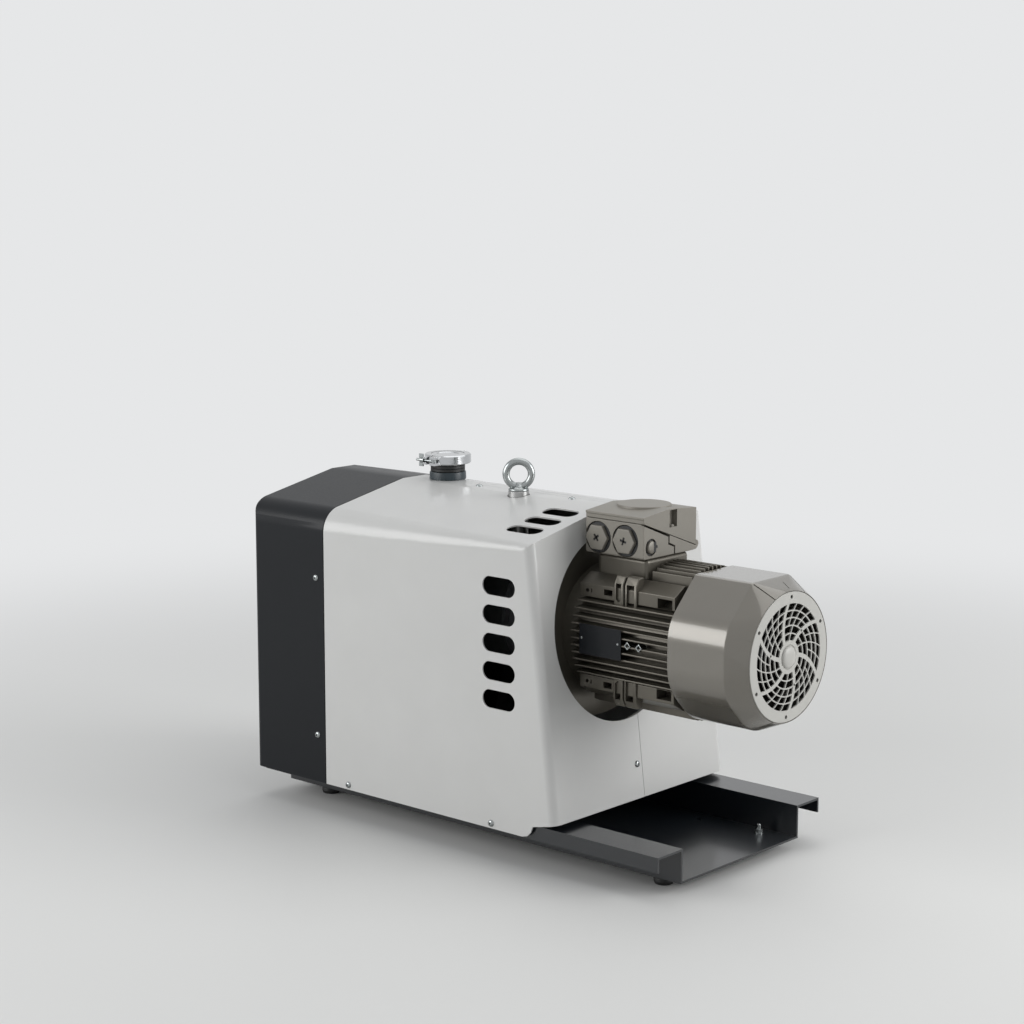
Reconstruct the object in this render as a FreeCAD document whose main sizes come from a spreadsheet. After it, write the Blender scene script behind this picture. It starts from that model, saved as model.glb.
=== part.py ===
import FreeCAD, Part
import math
import os
import re
import Sketcher
from FreeCAD import Vector, Rotation, Placement

doc = FreeCAD.newDocument("claw_vacuum_pump")

# Driving sizes in millimetres. X runs along the motor axis toward the fan, Y across, Z up from the floor.
SIZES = [
    # sheet metal hood, read from the photo through the fitted camera
    ("cover_rear", -415.6), ("seam_x", -267.5), ("seam_gap", 1.5), ("hood_half", 183.3), ("skin", 2.0),
    ("end_foot_x", 161.4), ("end_bottom", 68.9), ("end_lean", 0.124), ("panel_bottom", 43.6),
    ("shoulder_z", 434.7), ("roof_z", 465.9), ("roof_flat_half", 23.4), ("hood_split_y", 4.0),
    ("bend_rear", 35.0), ("bend_front", 8.0), ("corner_radius", 12.0), ("belt_width", 29.0),
    ("tab_end", 122.6), ("tab_step_z", 60.5), ("cutout_radius", 127.0), ("half_gap", 0.4),
    ("slot_length", 57.1), ("slot_height", 25.0), ("slot_x", 62.4), ("slot_top_z", 373.5),
    ("slot_pitch", 38.1), ("roof_slot_x", 66.5), ("roof_slot_y", -136.0), ("roof_slot_pitch", 36.0),
    ("louvre_length", 70.0), ("louvre_height", 9.0), ("louvre_pitch", 18.0), ("louvre_low_z", 96.0),
    ("screw_radius", 2.4), ("screw_head", 4.7), ("screw_length", 9.0), ("cover_screw_x", -284.0),
    # tray and feet
    ("sheet", 3.0), ("tray_rear", -400.0), ("tray_front", 326.8), ("tray_wall_y", 129.7),
    ("tray_lip_y", 178.1), ("foot_height", 15.0), ("tray_flange_z", 61.1), ("lip_bottom", 40.8),
    ("foot_x_front", 280.0), ("foot_x_rear", -340.0), ("foot_y", 105.0), ("foot_radius", 13.5),
    ("stud_radius", 3.0), ("mount_x_front", 180.0), ("mount_x_rear", -300.0), ("mount_y", 102.0),
    ("mount_hole", 3.5),
    # shafts, running along X
    ("motor_y", -23.5), ("motor_z", 306.1), ("shaft_spacing", 84.0), ("running_gap", 0.03),
    ("claw_seat", 13.0), ("seal_land", 17.0), ("gear_seat", 18.0), ("shaft_collar", 20.0),
    ("shaft_nose", 14.0),
    # claw chamber
    ("inlet_x", -218.0), ("chamber_length", 70.0), ("end_plate", 17.0), ("claw_tip", 61.7),
    ("claw_clearance", 0.3), ("heel_relief", 0.18), ("claw_end_gap", 0.5), ("casing_radius", 82.0),
    ("casing_wall", 10.0),
    ("rib_reach", 93.0), ("tie_circle", 73.0), ("tie_radius", 4.0), ("tie_head", 6.5),
    ("inlet_port", 19.0), ("exhaust_z", 265.0), ("exhaust_port", 16.0),
    # gearbox
    ("gearbox_length", 159.0), ("gear_cover", 22.0), ("gearbox_wall", 45.0), ("seal_room", 25.0),
    ("gear_width", 30.0), ("gear_module", 3.0), ("gear_teeth", 28.0), ("inner_bearing_width", 17.0),
    ("inner_bearing_bore", 17.5), ("inner_bearing_outer", 36.0), ("outer_bearing_width", 14.0),
    ("outer_bearing_bore", 15.0), ("outer_bearing_outer", 31.0), ("seal_outer", 26.0),
    ("nose_seal_outer", 22.0), ("glass_radius", 11.0), ("glass_seat", 16.0), ("glass_x", -92.0),
    # coupling and bell housing
    ("bell_length", 98.0), ("motor_flange_radius", 125.0), ("bell_outer", 66.0), ("bell_inner", 58.0),
    ("bell_foot", 78.0), ("flange", 12.0), ("window_half", 34.0), ("hub_radius", 38.0),
    ("hub_length", 26.0), ("hub_offset", 13.0), ("spider_length", 13.0), ("spider_bore", 16.0),
    # motor
    ("shield_length", 32.0), ("frame_length", 172.0), ("frame_bore", 72.0), ("frame_radius", 79.0),
    ("fin_tip", 94.5), ("tall_fin_tip", 102.0), ("fin_pitch", 9.6), ("fin_thickness", 2.4),
    ("rail_reach", 74.0),
    ("rail_low", 53.0), ("rail_high", 70.0), ("core_length", 110.0), ("core_offset", 32.0),
    ("coil_length", 18.0), ("air_gap", 0.5), ("rotor_radius", 44.5), ("rotor_seat", 16.0),
    ("fan_bearing_width", 15.0), ("fan_bearing_bore", 12.5), ("fan_bearing_outer", 26.0),
    ("shield_rim", 94.6), ("fan_offset", 22.0), ("fan_tip", 82.0), ("fan_seat", 10.0),
    ("fan_depth", 34.0), ("blade", 3.0), ("cowl_rear", 293.1), ("cowl_taper_x", 382.0),
    ("cowl_front", 412.0), ("cowl_apothem", 97.5), ("cowl_end_apothem", 85.5), ("cowl_wall", 2.5),
    ("cowl_corner", 25.0), ("cowl_front_corner", 62.0), ("grille_radius", 84.0), ("grille_sheet", 1.5),
    ("dome_radius", 14.0),
    ("dome_height", 3.6), ("slot_row_inner", 21.8), ("slot_row_pitch", 9.8), ("slot_row_height", 6.8),
    ("spoke_half", 3.0),
    # terminal box
    ("box_rear", 127.2), ("box_front", 224.5), ("box_near_y", -83.5), ("box_far_y", 27.5),
    ("box_bottom", 414.5), ("box_split_near", 460.0), ("box_split_far", 420.2), ("lid_near_z", 470.6),
    ("lid_ridge_y", -27.4), ("lid_ridge_z", 476.2), ("box_wall", 4.0), ("neck_rear", 139.0),
    ("neck_front", 222.0), ("neck_near_y", -70.0), ("neck_far_y", 14.0), ("lid_gap", 0.5), ("lid_disc", 35.0),
    ("cable_way", 20.0), ("plug_rear_x", 144.0), ("plug_pitch", 47.3), ("plug_z", 437.0),
    ("plug_flats", 34.0), ("plug_thread", 14.0), ("plug_seat", 23.0), ("side_plug_y", -65.9),
    ("side_plug_z", 430.0), ("side_plug_head", 11.0), ("side_plug_thread", 7.0),
    # inlet port with closing flange and clamp
    ("inlet_y", 18.5), ("pipe_outer", 22.25), ("pipe_bore", 20.25), ("pipe_flange", 38.0),
    ("port_face_z", 493.6), ("port_radius", 27.5), ("port_gap", 3.8), ("sleeve_radius", 26.2),
    ("sleeve_neck", 24.9), ("clamp_bottom", 488.4), ("clamp_top", 502.6), ("clamp_outer", 33.6),
    ("clamp_lip", 24.0), ("pin_radius", 1.5), ("rod_radius", 1.9), ("fit_gap", 0.05),
    ("knuckle", 4.0), ("nut_gap", 0.5), ("valve_seat_z", 443.0), ("valve_radius", 18.5),
    ("valve_plate", 5.0), ("seat_bore", 13.0), ("stem_radius", 4.0), ("coil_radius", 11.0),
    ("coil_wire", 1.1), ("rest_gap", 0.3),
    # lifting eye, cradle and silencer
    ("eye_x", -44.0), ("eye_base_z", 471.3), ("eye_ring", 17.5), ("eye_wire", 5.0), ("eye_thread", 4.9),
    ("post_radius", 14.4), ("post_foot", 19.5), ("cradle_plate", 6.0), ("cradle_rear", -262.0),
    ("cradle_front", -60.0), ("silencer_rear", -400.0), ("silencer_front", -290.0),
    ("silencer_radius", 62.0), ("silencer_wall", 3.0), ("exhaust_stub", 24.0), ("core_tube", 22.0),
]
sizes = doc.addObject("Spreadsheet::Sheet", "Sizes")
for row, (alias, value) in enumerate(SIZES, start=1):
    sizes.set("A%d" % row, alias)
    sizes.set("B%d" % row, str(value))
    sizes.setAlias("B%d" % row, alias)
doc.recompute()
VALUE = dict(SIZES)
ALIAS = re.compile(r"[a-z][a-z_]*[a-z]")
SCRATCH = "D1"

# Stations along X and other places that follow from the sizes.
CHAMBER_REAR = "(inlet_x - chamber_length / 2)"
CHAMBER_FRONT = "(inlet_x + chamber_length / 2)"
PLATE_REAR = f"({CHAMBER_REAR} - end_plate)"
SPLIT = f"({CHAMBER_FRONT} + gearbox_length)"
GEARBOX_FRONT = f"({SPLIT} + gear_cover)"
MOTOR_FACE = f"({GEARBOX_FRONT} + bell_length)"
FRAME_REAR = f"({MOTOR_FACE} + shield_length)"
FRAME_FRONT = f"({FRAME_REAR} + frame_length)"
BEARING_REAR = f"({CHAMBER_FRONT} + seal_room)"
GEAR_ROOM = f"({CHAMBER_FRONT} + gearbox_wall)"
GEAR_REAR = f"({GEAR_ROOM} + 23)"
HUB_REAR = f"({GEARBOX_FRONT} + hub_offset)"
SPIDER_REAR = f"({HUB_REAR} + hub_length)"
MOTOR_HUB = f"({SPIDER_REAR} + spider_length)"
CORE_REAR = f"({FRAME_REAR} + core_offset)"
CORE_FRONT = f"({CORE_REAR} + core_length)"
FAN_BEARING = f"({FRAME_FRONT} - 4)"
FAN_REAR = f"({FRAME_FRONT} + fan_offset)"
CASING_TOP = "(motor_z + casing_radius)"
PLATE_TOP = "(foot_height + sheet)"
CLAMP_MIDDLE = "(port_face_z + port_gap / 2)"
BLANK_FACE = "(port_face_z + port_gap)"
HINGE_Y = "(inlet_y + clamp_outer + 2)"
BOLT_X, BOLT_Y = "(inlet_x + 9)", "(inlet_y - clamp_outer - 5)"
NECK_X = "((neck_rear + neck_front) / 2)"
DRIVE = ("motor_y", "motor_z")
DRIVEN = ("motor_y + shaft_spacing", "motor_z")
INLET = ("inlet_x", "inlet_y")
EXHAUST = ("inlet_y", "exhaust_z")
TURN = {"x": Rotation(Vector(0, 1, 0), 90), "y": Rotation(Vector(1, 0, 0), -90), "z": Rotation()}
UPRIGHT = Rotation(Vector(1, 0, 0), 90)
ACROSS = Rotation(Vector(0, 0, 1), 90).multiply(Rotation(Vector(1, 0, 0), 90))
PLANE = {"yz": (ACROSS, Vector(1, 0, 0)), "xz": (UPRIGHT, Vector(0, 1, 0)),
         "xy": (Rotation(), Vector(0, 0, 1))}
count = {}
nodes = []


def text(value):
    """Expression text of a size, with each alias looked up in the sheet."""
    return ALIAS.sub(lambda m: "Sizes." + m.group(0) if m.group(0) in VALUE else m.group(0), str(value))


def number(value):
    """Present value of an expression, worked out by the sheet."""
    sizes.set(SCRATCH, "=" + str(value))
    sizes.recompute()
    return float(sizes.get(SCRATCH))


def add(kind, name):
    count[name] = count.get(name, 0) + 1
    return doc.addObject(kind, name if count[name] == 1 else "%s_%d" % (name, count[name]))


def bind(obj, **terms):
    for key, value in terms.items():
        obj.setExpression(key.replace("__", "."), text(value))
    return obj


def place(obj, at, turn=None):
    if turn is not None:
        obj.Placement = Placement(Vector(), turn)
    return bind(obj, Placement__Base__x=at[0], Placement__Base__y=at[1], Placement__Base__z=at[2])


def node(name, obj):
    """Marks a finished piece: its label names its file."""
    obj.Label = name
    nodes.append(obj)
    return obj


def box(name, x, y, z):
    obj = add("Part::Box", name)
    bind(obj, Length=f"({x[1]}) - ({x[0]})", Width=f"({y[1]}) - ({y[0]})", Height=f"({z[1]}) - ({z[0]})")
    return place(obj, (x[0], y[0], z[0]))


def cylinder(name, axis, at, radius, height):
    obj = add("Part::Cylinder", name)
    bind(obj, Radius=radius, Height=height)
    return place(obj, at, TURN[axis])


def sector(name, at, radius, height, start, angle):
    """Wedge of a cylinder along X."""
    obj = add("Part::Cylinder", name)
    obj.Angle = angle
    bind(obj, Radius=radius, Height=height)
    return place(obj, at, TURN["x"].multiply(Rotation(Vector(0, 0, 1), start)))


def hexagon(name, axis, at, flats, height):
    obj = add("Part::Prism", name)
    obj.Polygon = 6
    bind(obj, Circumradius=f"({flats}) / sqrt(3)", Height=height)
    return place(obj, at, TURN[axis])


def fuse(name, *parts):
    obj = add("Part::MultiFuse", name)
    obj.Shapes = list(parts)
    obj.Refine = True
    return obj


def cut(name, base, *tools):
    obj = add("Part::Cut", name)
    obj.Base = base
    obj.Tool = tools[0] if len(tools) == 1 else fuse(name + "_tools", *tools)
    obj.Refine = True
    return obj


def common(name, one, two):
    obj = add("Part::Common", name)
    obj.Base, obj.Tool = one, two
    return obj


def group(name, *parts):
    obj = add("Part::Compound", name)
    obj.Links = list(parts)
    return obj


def outline(name, turn, points, at=("0", "0", "0")):
    """Closed sketch whose corners are held by dimensions bound to the sheet."""
    sketch = add("Sketcher::SketchObject", name + "_outline")
    place(sketch, at, turn)
    spots = [Vector(number(a), number(b), 0) for a, b in points]
    total = len(spots)
    sketch.addGeometry([Part.LineSegment(spots[i], spots[(i + 1) % total]) for i in range(total)], False)
    rules = [Sketcher.Constraint("Coincident", i, 2, (i + 1) % total, 1) for i in range(total)]
    for i, spot in enumerate(spots):
        rules.append(Sketcher.Constraint("DistanceX", -1, 1, i, 1, spot.x))
        rules.append(Sketcher.Constraint("DistanceY", -1, 1, i, 1, spot.y))
    sketch.addConstraint(rules)
    for i, point in enumerate(points):
        for k in (0, 1):
            sketch.setExpression("Constraints[%d]" % (total + 2 * i + k), text(point[k]))
    return sketch


def slab(name, plane, points, low, high):
    """Polygon extruded: plane 'yz' along X, 'xz' along Y, 'xy' along Z."""
    turn, direction = PLANE[plane]
    at = {"yz": (low, "0", "0"), "xz": ("0", low, "0"), "xy": ("0", "0", low)}[plane]
    obj = add("Part::Extrusion", name)
    obj.Base = outline(name, turn, points, at)
    obj.DirMode = "Custom"
    obj.Dir = direction
    obj.Solid = True
    return bind(obj, LengthFwd=f"({high}) - ({low})")


def turned(name, axis, centre, points):
    """Profile of (station, radius) pairs turned about an axis along X or Z."""
    obj = add("Part::Revolution", name)
    at = ("0", centre[0], centre[1]) if axis == "x" else (centre[0], centre[1], "0")
    spots = points if axis == "x" else [(radius, station) for station, radius in points]
    obj.Source = outline(name, UPRIGHT, spots, at)
    obj.Axis = Vector(1, 0, 0) if axis == "x" else Vector(0, 0, 1)
    obj.Angle = 360
    obj.Solid = True
    return bind(obj, Base__x=at[0], Base__y=at[1], Base__z=at[2])


def turned_facing(name, spot, turn, points):
    """Profile of (station, radius) pairs turned about Z, then aimed and set at a spot."""
    obj = add("Part::Revolution", name)
    obj.Source = outline(name, UPRIGHT, [(radius, station) for station, radius in points])
    obj.Axis = Vector(0, 0, 1)
    obj.Angle = 360
    obj.Solid = True
    return place(obj, spot, turn)


def ring(name, axis, centre, low, high, inner, outer):
    return turned(name, axis, centre, [(low, inner), (low, outer), (high, outer), (high, inner)])


def rounded(name, base, choose):
    """Fillet of the edges for which choose(first point, last point) gives two radii."""
    doc.recompute()
    obj = add("Part::Fillet", name)
    obj.Base = base
    picks = []
    for i, edge in enumerate(base.Shape.Edges, start=1):
        radii = choose(edge.valueAt(edge.FirstParameter), edge.valueAt(edge.LastParameter))
        if radii:
            picks.append((i, radii[0], radii[1]))
    obj.Edges = picks
    return obj


# Tray: folded channel with outward flanges and turned down lips, on four rubber feet.
def tray_side(sign):
    inner, lip = f"{sign} (tray_wall_y - sheet)", f"{sign} (tray_lip_y - sheet)"
    wall, edge = f"{sign} tray_wall_y", f"{sign} tray_lip_y"
    points = [(inner, "foot_height"), (wall, "foot_height"), (wall, "tray_flange_z - sheet"),
              (lip, "tray_flange_z - sheet"), (lip, "lip_bottom"), (edge, "lip_bottom"),
              (edge, "tray_flange_z"), (inner, "tray_flange_z")]
    return slab("tray_side", "yz", points, "tray_rear", "tray_front")


FOOT_SPOTS = [(x, y) for x in ("foot_x_front", "foot_x_rear") for y in ("-foot_y", "foot_y")]
MOUNT_SPOTS = [(x, y) for x in ("mount_x_front", "mount_x_rear") for y in ("-mount_y", "mount_y")]
feet, studs = [], []
for x, y in FOOT_SPOTS:
    feet.append(turned("foot", "z", (x, y), [("0", "0"), ("0", "foot_radius - 2"), ("4", "foot_radius"),
                ("foot_height", "foot_radius"), ("foot_height", "stud_radius"), ("5", "stud_radius"),
                ("5", "0")]))
    stud = turned("foot_stud", "z", (x, y), [("5", "0"), ("5", "stud_radius"), (PLATE_TOP, "stud_radius"),
                  (PLATE_TOP, "6.2"), (f"{PLATE_TOP} + 1.5", "6.2"), (f"{PLATE_TOP} + 1.5", "stud_radius"),
                  (f"{PLATE_TOP} + 12.5", "stud_radius"), (f"{PLATE_TOP} + 13.3", "stud_radius - 1"),
                  (f"{PLATE_TOP} + 13.3", "0")])
    nut = hexagon("foot_nut", "z", (x, y, f"{PLATE_TOP} + 1.5"), "10", "5")
    studs.append(fuse("foot_fixing", stud, nut))
node("rubber_feet", group("rubber_feet", *feet))
node("foot_studs", group("foot_studs", *studs))

# Button head screws of the hood panels: place, side they face.
LEAN = math.degrees(math.atan(VALUE["end_lean"]))
FACING = {"top": Rotation(), "near": Rotation(Vector(1, 0, 0), 90), "far": Rotation(Vector(1, 0, 0), -90),
          "end": Rotation(Vector(0, 1, 0), 90 - LEAN)}
ROOF_SCREWS = [("-135", "hood_split_y - 9", "roof_z"), ("36.6", "hood_split_y - 9", "roof_z")]
SIDE_SCREWS = [("cover_screw_x", "shoulder_z - 94.4"), ("cover_screw_x", "panel_bottom + 68.9"),
               ("-222.7", "(lip_bottom + tray_flange_z) / 2 - 0.4"),
               ("48.9", "(lip_bottom + tray_flange_z) / 2 - 0.4")]
END_SCREW = "end_bottom + 46.4"
SCREWS = [(spot, "top") for spot in ROOF_SCREWS]
SCREWS.append(((f"end_foot_x - end_lean * ({END_SCREW} - end_bottom)", "hood_split_y - 10.5", END_SCREW),
               "end"))
for x, z in SIDE_SCREWS:
    SCREWS += [((x, "-hood_half", z), "near"), ((x, "hood_half", z), "far")]
screws, screw_holes = [], []
for spot, side in SCREWS:
    screws.append(turned_facing("screw", spot, FACING[side], [("-screw_length", "0"),
                  ("-screw_length", "screw_radius"), ("0", "screw_radius"), ("0", "screw_head"),
                  ("1", "screw_head - 0.1"), ("2.4", "screw_head - 1.3"), ("2.8", "1.6"), ("0.9", "1.6"),
                  ("0.9", "0")]))
    screw_holes.append(turned_facing("screw_hole", spot, FACING[side], [("-screw_length - 3", "0"),
                       ("-screw_length - 3", "screw_radius"), ("3", "screw_radius"), ("3", "0")]))
node("panel_screws", group("panel_screws", *screws))

tray_plate = box("tray_plate", ("tray_rear", "tray_front"), ("1 - tray_wall_y", "tray_wall_y - 1"),
                 ("foot_height", PLATE_TOP))
tray_holes = [cylinder("stud_hole", "z", spot + ("foot_height - 1",), "stud_radius + rest_gap", "sheet + 2")
              for spot in FOOT_SPOTS]
tray_holes += [cylinder("mount_hole_way", "z", spot + ("foot_height - 1",), "mount_hole", "sheet + 2")
               for spot in MOUNT_SPOTS]
node("base_tray", cut("base_tray", fuse("tray_body", tray_plate, tray_side("-"), tray_side("")),
                      *(tray_holes + screw_holes)))

# Hood: a house shaped block with rounded shoulders, met by a block with rounded upright corners,
# less the same pair one skin smaller.
RUN = VALUE["hood_half"] - VALUE["roof_flat_half"]
RISE = VALUE["roof_z"] - VALUE["shoulder_z"]
SHOULDER_DROP = (math.hypot(RUN, RISE) - RISE) / RUN
SKY, FLOOR = "600", "0"


def bent_block(name, low, high, inset, bends, drop="0"):
    """House shaped block an inset smaller than the hood; a cutting block drops below the panels."""
    half, top = f"(hood_half - {inset})", f"roof_z - {inset}"
    shoulder, bottom = f"(shoulder_z - {SHOULDER_DROP:.4f} * {inset})", f"(panel_bottom - {drop})"
    section = [(f"-{half}", bottom), (f"-{half}", shoulder), ("-roof_flat_half", top),
               ("roof_flat_half", top), (half, shoulder), (half, bottom)]
    block = slab(name + "_section", "yz", section, low, high)
    level, less = number(shoulder), number(inset)
    radii = (VALUE[bends[0]] - less, VALUE[bends[1]] - less)

    def choose(a, b):
        if max(abs(a.z - level), abs(b.z - level)) > 0.01 or abs(a.y - b.y) > 0.01:
            return None
        return radii if a.x < b.x else radii[::-1]
    return rounded(name + "_bent", block, choose)


def end_block(name, side, inset, end_x):
    half = f"hood_half - {inset}"
    block = slab(name + "_side", "xz", side, f"-({half})", half)
    middle, radius = number(end_x), VALUE["corner_radius"] - number(inset)

    def choose(a, b):
        upright = abs(a.z - b.z) > 100 and abs((a.x + b.x) / 2 - middle) < 45
        return (radius, radius) if upright else None
    return rounded(name + "_corners", block, choose)


def hood_block(name, inset):
    bent = bent_block(name, f"seam_x - {inset}", "200", inset, ("bend_rear", "bend_front"), inset)
    lean = "end_foot_x + end_lean * (end_bottom - %s) - 1.008 * %s"
    side = [(f"seam_x - {inset}", FLOOR), (lean % (FLOOR, inset), FLOOR), (lean % (SKY, inset), SKY),
            (f"seam_x - {inset}", SKY)]
    return common(name, bent, end_block(name, side, inset, "end_foot_x - 25"))


def cover_block(name, inset):
    front = f"seam_x - seam_gap + {inset}"
    bent = bent_block(name, "cover_rear", front, inset, ("bend_rear", "bend_rear"), inset)
    side = [(f"cover_rear + {inset}", FLOOR), (front, FLOOR), (front, SKY), (f"cover_rear + {inset}", SKY)]
    return common(name, bent, end_block(name, side, inset, "cover_rear"))


def slot_y(name, y, z):
    """Obround cutter through a side panel."""
    ends = ("slot_x - slot_length / 2 + slot_height / 2", "slot_x + slot_length / 2 - slot_height / 2")
    body = box(name, ends, (y, f"{y} + 20"), (f"{z} - slot_height / 2", f"{z} + slot_height / 2"))
    caps = [cylinder(name + "_cap", "y", (x, y, z), "slot_height / 2", "20") for x in ends]
    return fuse(name + "_slot", body, *caps)


def slot_z(name, y):
    """Obround cutter through the roof slope."""
    ends = ("roof_slot_x - slot_length / 2 + slot_height / 2",
            "roof_slot_x + slot_length / 2 - slot_height / 2")
    body = box(name, ends, (f"{y} - slot_height / 2", f"{y} + slot_height / 2"), ("shoulder_z - 12", SKY))
    caps = [cylinder(name + "_cap", "z", (x, y, "shoulder_z - 12"), "slot_height / 2", "90") for x in ends]
    return fuse(name + "_slot", body, *caps)


open_foot = slab("open_foot", "xz", [("tab_end - 18.6", FLOOR), ("tab_end - 18.6", "panel_bottom"),
                 ("tab_end - 9.6", "panel_bottom + 2.4"), ("tab_end - 3.6", "panel_bottom + 8"),
                 ("tab_end", "tab_step_z"), ("end_foot_x - 5", "end_bottom - 1.4"),
                 ("end_foot_x + 4", "end_bottom"), ("end_foot_x + 60", "end_bottom"),
                 ("end_foot_x + 60", FLOOR)], "-200", "200")
cutout = cylinder("cutout", "x", ("60", "motor_y", "motor_z"), "cutout_radius", "120")
vents = [slot_y("side_vent", side, f"slot_top_z - {i} * slot_pitch")
         for i in range(5) for side in ("-hood_half - 10", "hood_half - 10")]
vents += [slot_z("roof_vent", f"roof_slot_y + {i} * roof_slot_pitch") for i in range(3)]
inlet_hole = cylinder("inlet_hole", "z", INLET + ("roof_z - 30",), "sleeve_neck", "60")
eye_hole = cylinder("eye_hole", "z", ("eye_x", "motor_y", "roof_z - 30"), "post_radius + 1.2", "60")
hood_skin = cut("hood_skin", hood_block("hood_outer", "0"), hood_block("hood_inner", "skin"), open_foot,
                cutout, inlet_hole, eye_hole, *vents)

# Lining strips behind the skin: a joggle under the middle seam and a belt that carries the cover.
lining = cut("lining", hood_block("lining_outer", "skin"), hood_block("lining_inner", "(2 * skin)"),
             cutout, cylinder("lining_inlet", "z", INLET + ("roof_z - 30",), "sleeve_neck + 4", "60"),
             cylinder("lining_eye", "z", ("eye_x", "motor_y", "roof_z - 30"), "post_radius + 4", "60"))
joggle_room = box("joggle_room", ("seam_x + 20", "end_foot_x"), ("hood_split_y - 18", "hood_split_y + 12"),
                  ("end_bottom + 2", "roof_z"))
joggle = common("joggle", lining, joggle_room)
belt_outer = bent_block("belt_outer", "seam_x - belt_width", "seam_x + 12", "skin",
                        ("bend_rear", "bend_rear"))
belt_inner = bent_block("belt_inner", "seam_x - belt_width - 1", "seam_x + 13", "(2 * skin)",
                        ("bend_rear", "bend_rear"), "skin")
belt = cut("belt", belt_outer, belt_inner)
near_room = box("near_room", ("-500", "500"), ("-200", "hood_split_y - half_gap"), (FLOOR, SKY))
far_room = box("far_room", ("-500", "500"), ("hood_split_y + half_gap", "200"), (FLOOR, SKY))
near_body = fuse("near_body", common("near_skin", hood_skin, near_room),
                 common("near_belt", belt, near_room))
far_body = fuse("far_body", common("far_skin", hood_skin, far_room), common("far_belt", belt, far_room),
                joggle)
node("hood_near_half", cut("hood_near_half", near_body, *screw_holes))
node("hood_far_half", cut("hood_far_half", far_body, *screw_holes))

exhaust_hole = cylinder("exhaust_hole", "x", ("cover_rear - 1",) + EXHAUST, "exhaust_stub + 1.5", "9")
louvres = [box("louvre", ("cover_rear - 1", "cover_rear + 5"), (y, f"{y} + louvre_length"),
           (f"louvre_low_z + {i} * louvre_pitch", f"louvre_low_z + {i} * louvre_pitch + louvre_height"))
           for y in ("-50 - louvre_length", "50") for i in range(4)]
node("rear_cover", cut("rear_cover", cover_block("cover_outer", "0"), cover_block("cover_inner", "skin"),
                       exhaust_hole, *(louvres + screw_holes)))
gasket = cut("gasket", bent_block("gasket_outer", "seam_x - seam_gap", "seam_x", "0.6",
                                  ("bend_rear", "bend_rear")),
             bent_block("gasket_inner", "seam_x - seam_gap - 1", "seam_x + 1", "skin",
                        ("bend_rear", "bend_rear"), "skin"))
node("seam_gasket", gasket)


# Pump casing: two bores side by side in a racetrack body, tied together by long screws.
def racetrack(name, low, high, radius):
    length = f"({high}) - ({low})"
    ends = [cylinder(name + "_end", "x", (low,) + centre, radius, length) for centre in (DRIVE, DRIVEN)]
    middle = box(name + "_middle", (low, high), (DRIVE[0], DRIVEN[0]),
                 (f"motor_z - ({radius})", f"motor_z + ({radius})"))
    return fuse(name, middle, *ends)


TIES = [("motor_y", "motor_z + tie_circle"), ("motor_y - tie_circle", "motor_z"),
        ("motor_y", "motor_z - tie_circle"), (DRIVEN[0], "motor_z + tie_circle"),
        (DRIVEN[0] + " + tie_circle", "motor_z"), (DRIVEN[0], "motor_z - tie_circle")]
TIE_END = "(end_plate + chamber_length + 13)"
tie_ways = [cylinder("tie_way", "x", (f"{PLATE_REAR} - 1",) + tie, "tie_radius + rest_gap",
            "end_plate + chamber_length + 1") for tie in TIES]
tie_threads = [cylinder("tie_thread", "x", (f"{CHAMBER_FRONT} - 1",) + tie, "tie_radius",
                        "14") for tie in TIES]
ties = []
for tie in TIES:
    shank = cylinder("tie_shank", "x", (f"{PLATE_REAR} - 1",) + tie, "tie_radius", TIE_END)
    head = cylinder("tie_head_body", "x", (f"{PLATE_REAR} - 8",) + tie, "tie_head", "8")
    key = hexagon("tie_key", "x", (f"{PLATE_REAR} - 9",) + tie, "tie_radius * 1.5", "5")
    ties.append(cut("tie_bolt", fuse("tie_bolt_body", shank, head), key))
node("housing_bolts", group("housing_bolts", *ties))

pad = box("inlet_pad", (f"{CHAMBER_REAR} + 1", CHAMBER_FRONT), ("inlet_y - 40", "inlet_y + 40"),
          ("motor_z + casing_radius - 14", CASING_TOP))
ribs = [box("side_rib", (f"{CHAMBER_REAR} + 6 + {i} * 17", f"{CHAMBER_REAR} + 10 + {i} * 17"),
            ("motor_y - rib_reach", "motor_y + shaft_spacing + rib_reach"),
            ("motor_z - 34", "motor_z + 34"))
        for i in range(4)]
bores = [cylinder("chamber_bore", "x", (f"{CHAMBER_REAR} - 1",) + centre,
                  "claw_tip + claw_clearance + 0.05",
         "chamber_length + 2") for centre in (DRIVE, DRIVEN)]
port = cylinder("inlet_way", "z", INLET + ("motor_z + 30",), "inlet_port", "80")
casing = fuse("casing", racetrack("casing_body", CHAMBER_REAR, CHAMBER_FRONT, "casing_radius"), pad, *ribs)
node("rotor_housing", cut("rotor_housing", casing, port, *(bores + tie_ways)))
exhaust_way = cylinder("exhaust_way", "x", (f"{PLATE_REAR} - 1",) + EXHAUST, "exhaust_port",
                       "end_plate + 2")
node("end_plate", cut("end_plate", racetrack("end_plate_body", PLATE_REAR, CHAMBER_REAR, "casing_radius"),
                      exhaust_way, *tie_ways))

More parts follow.
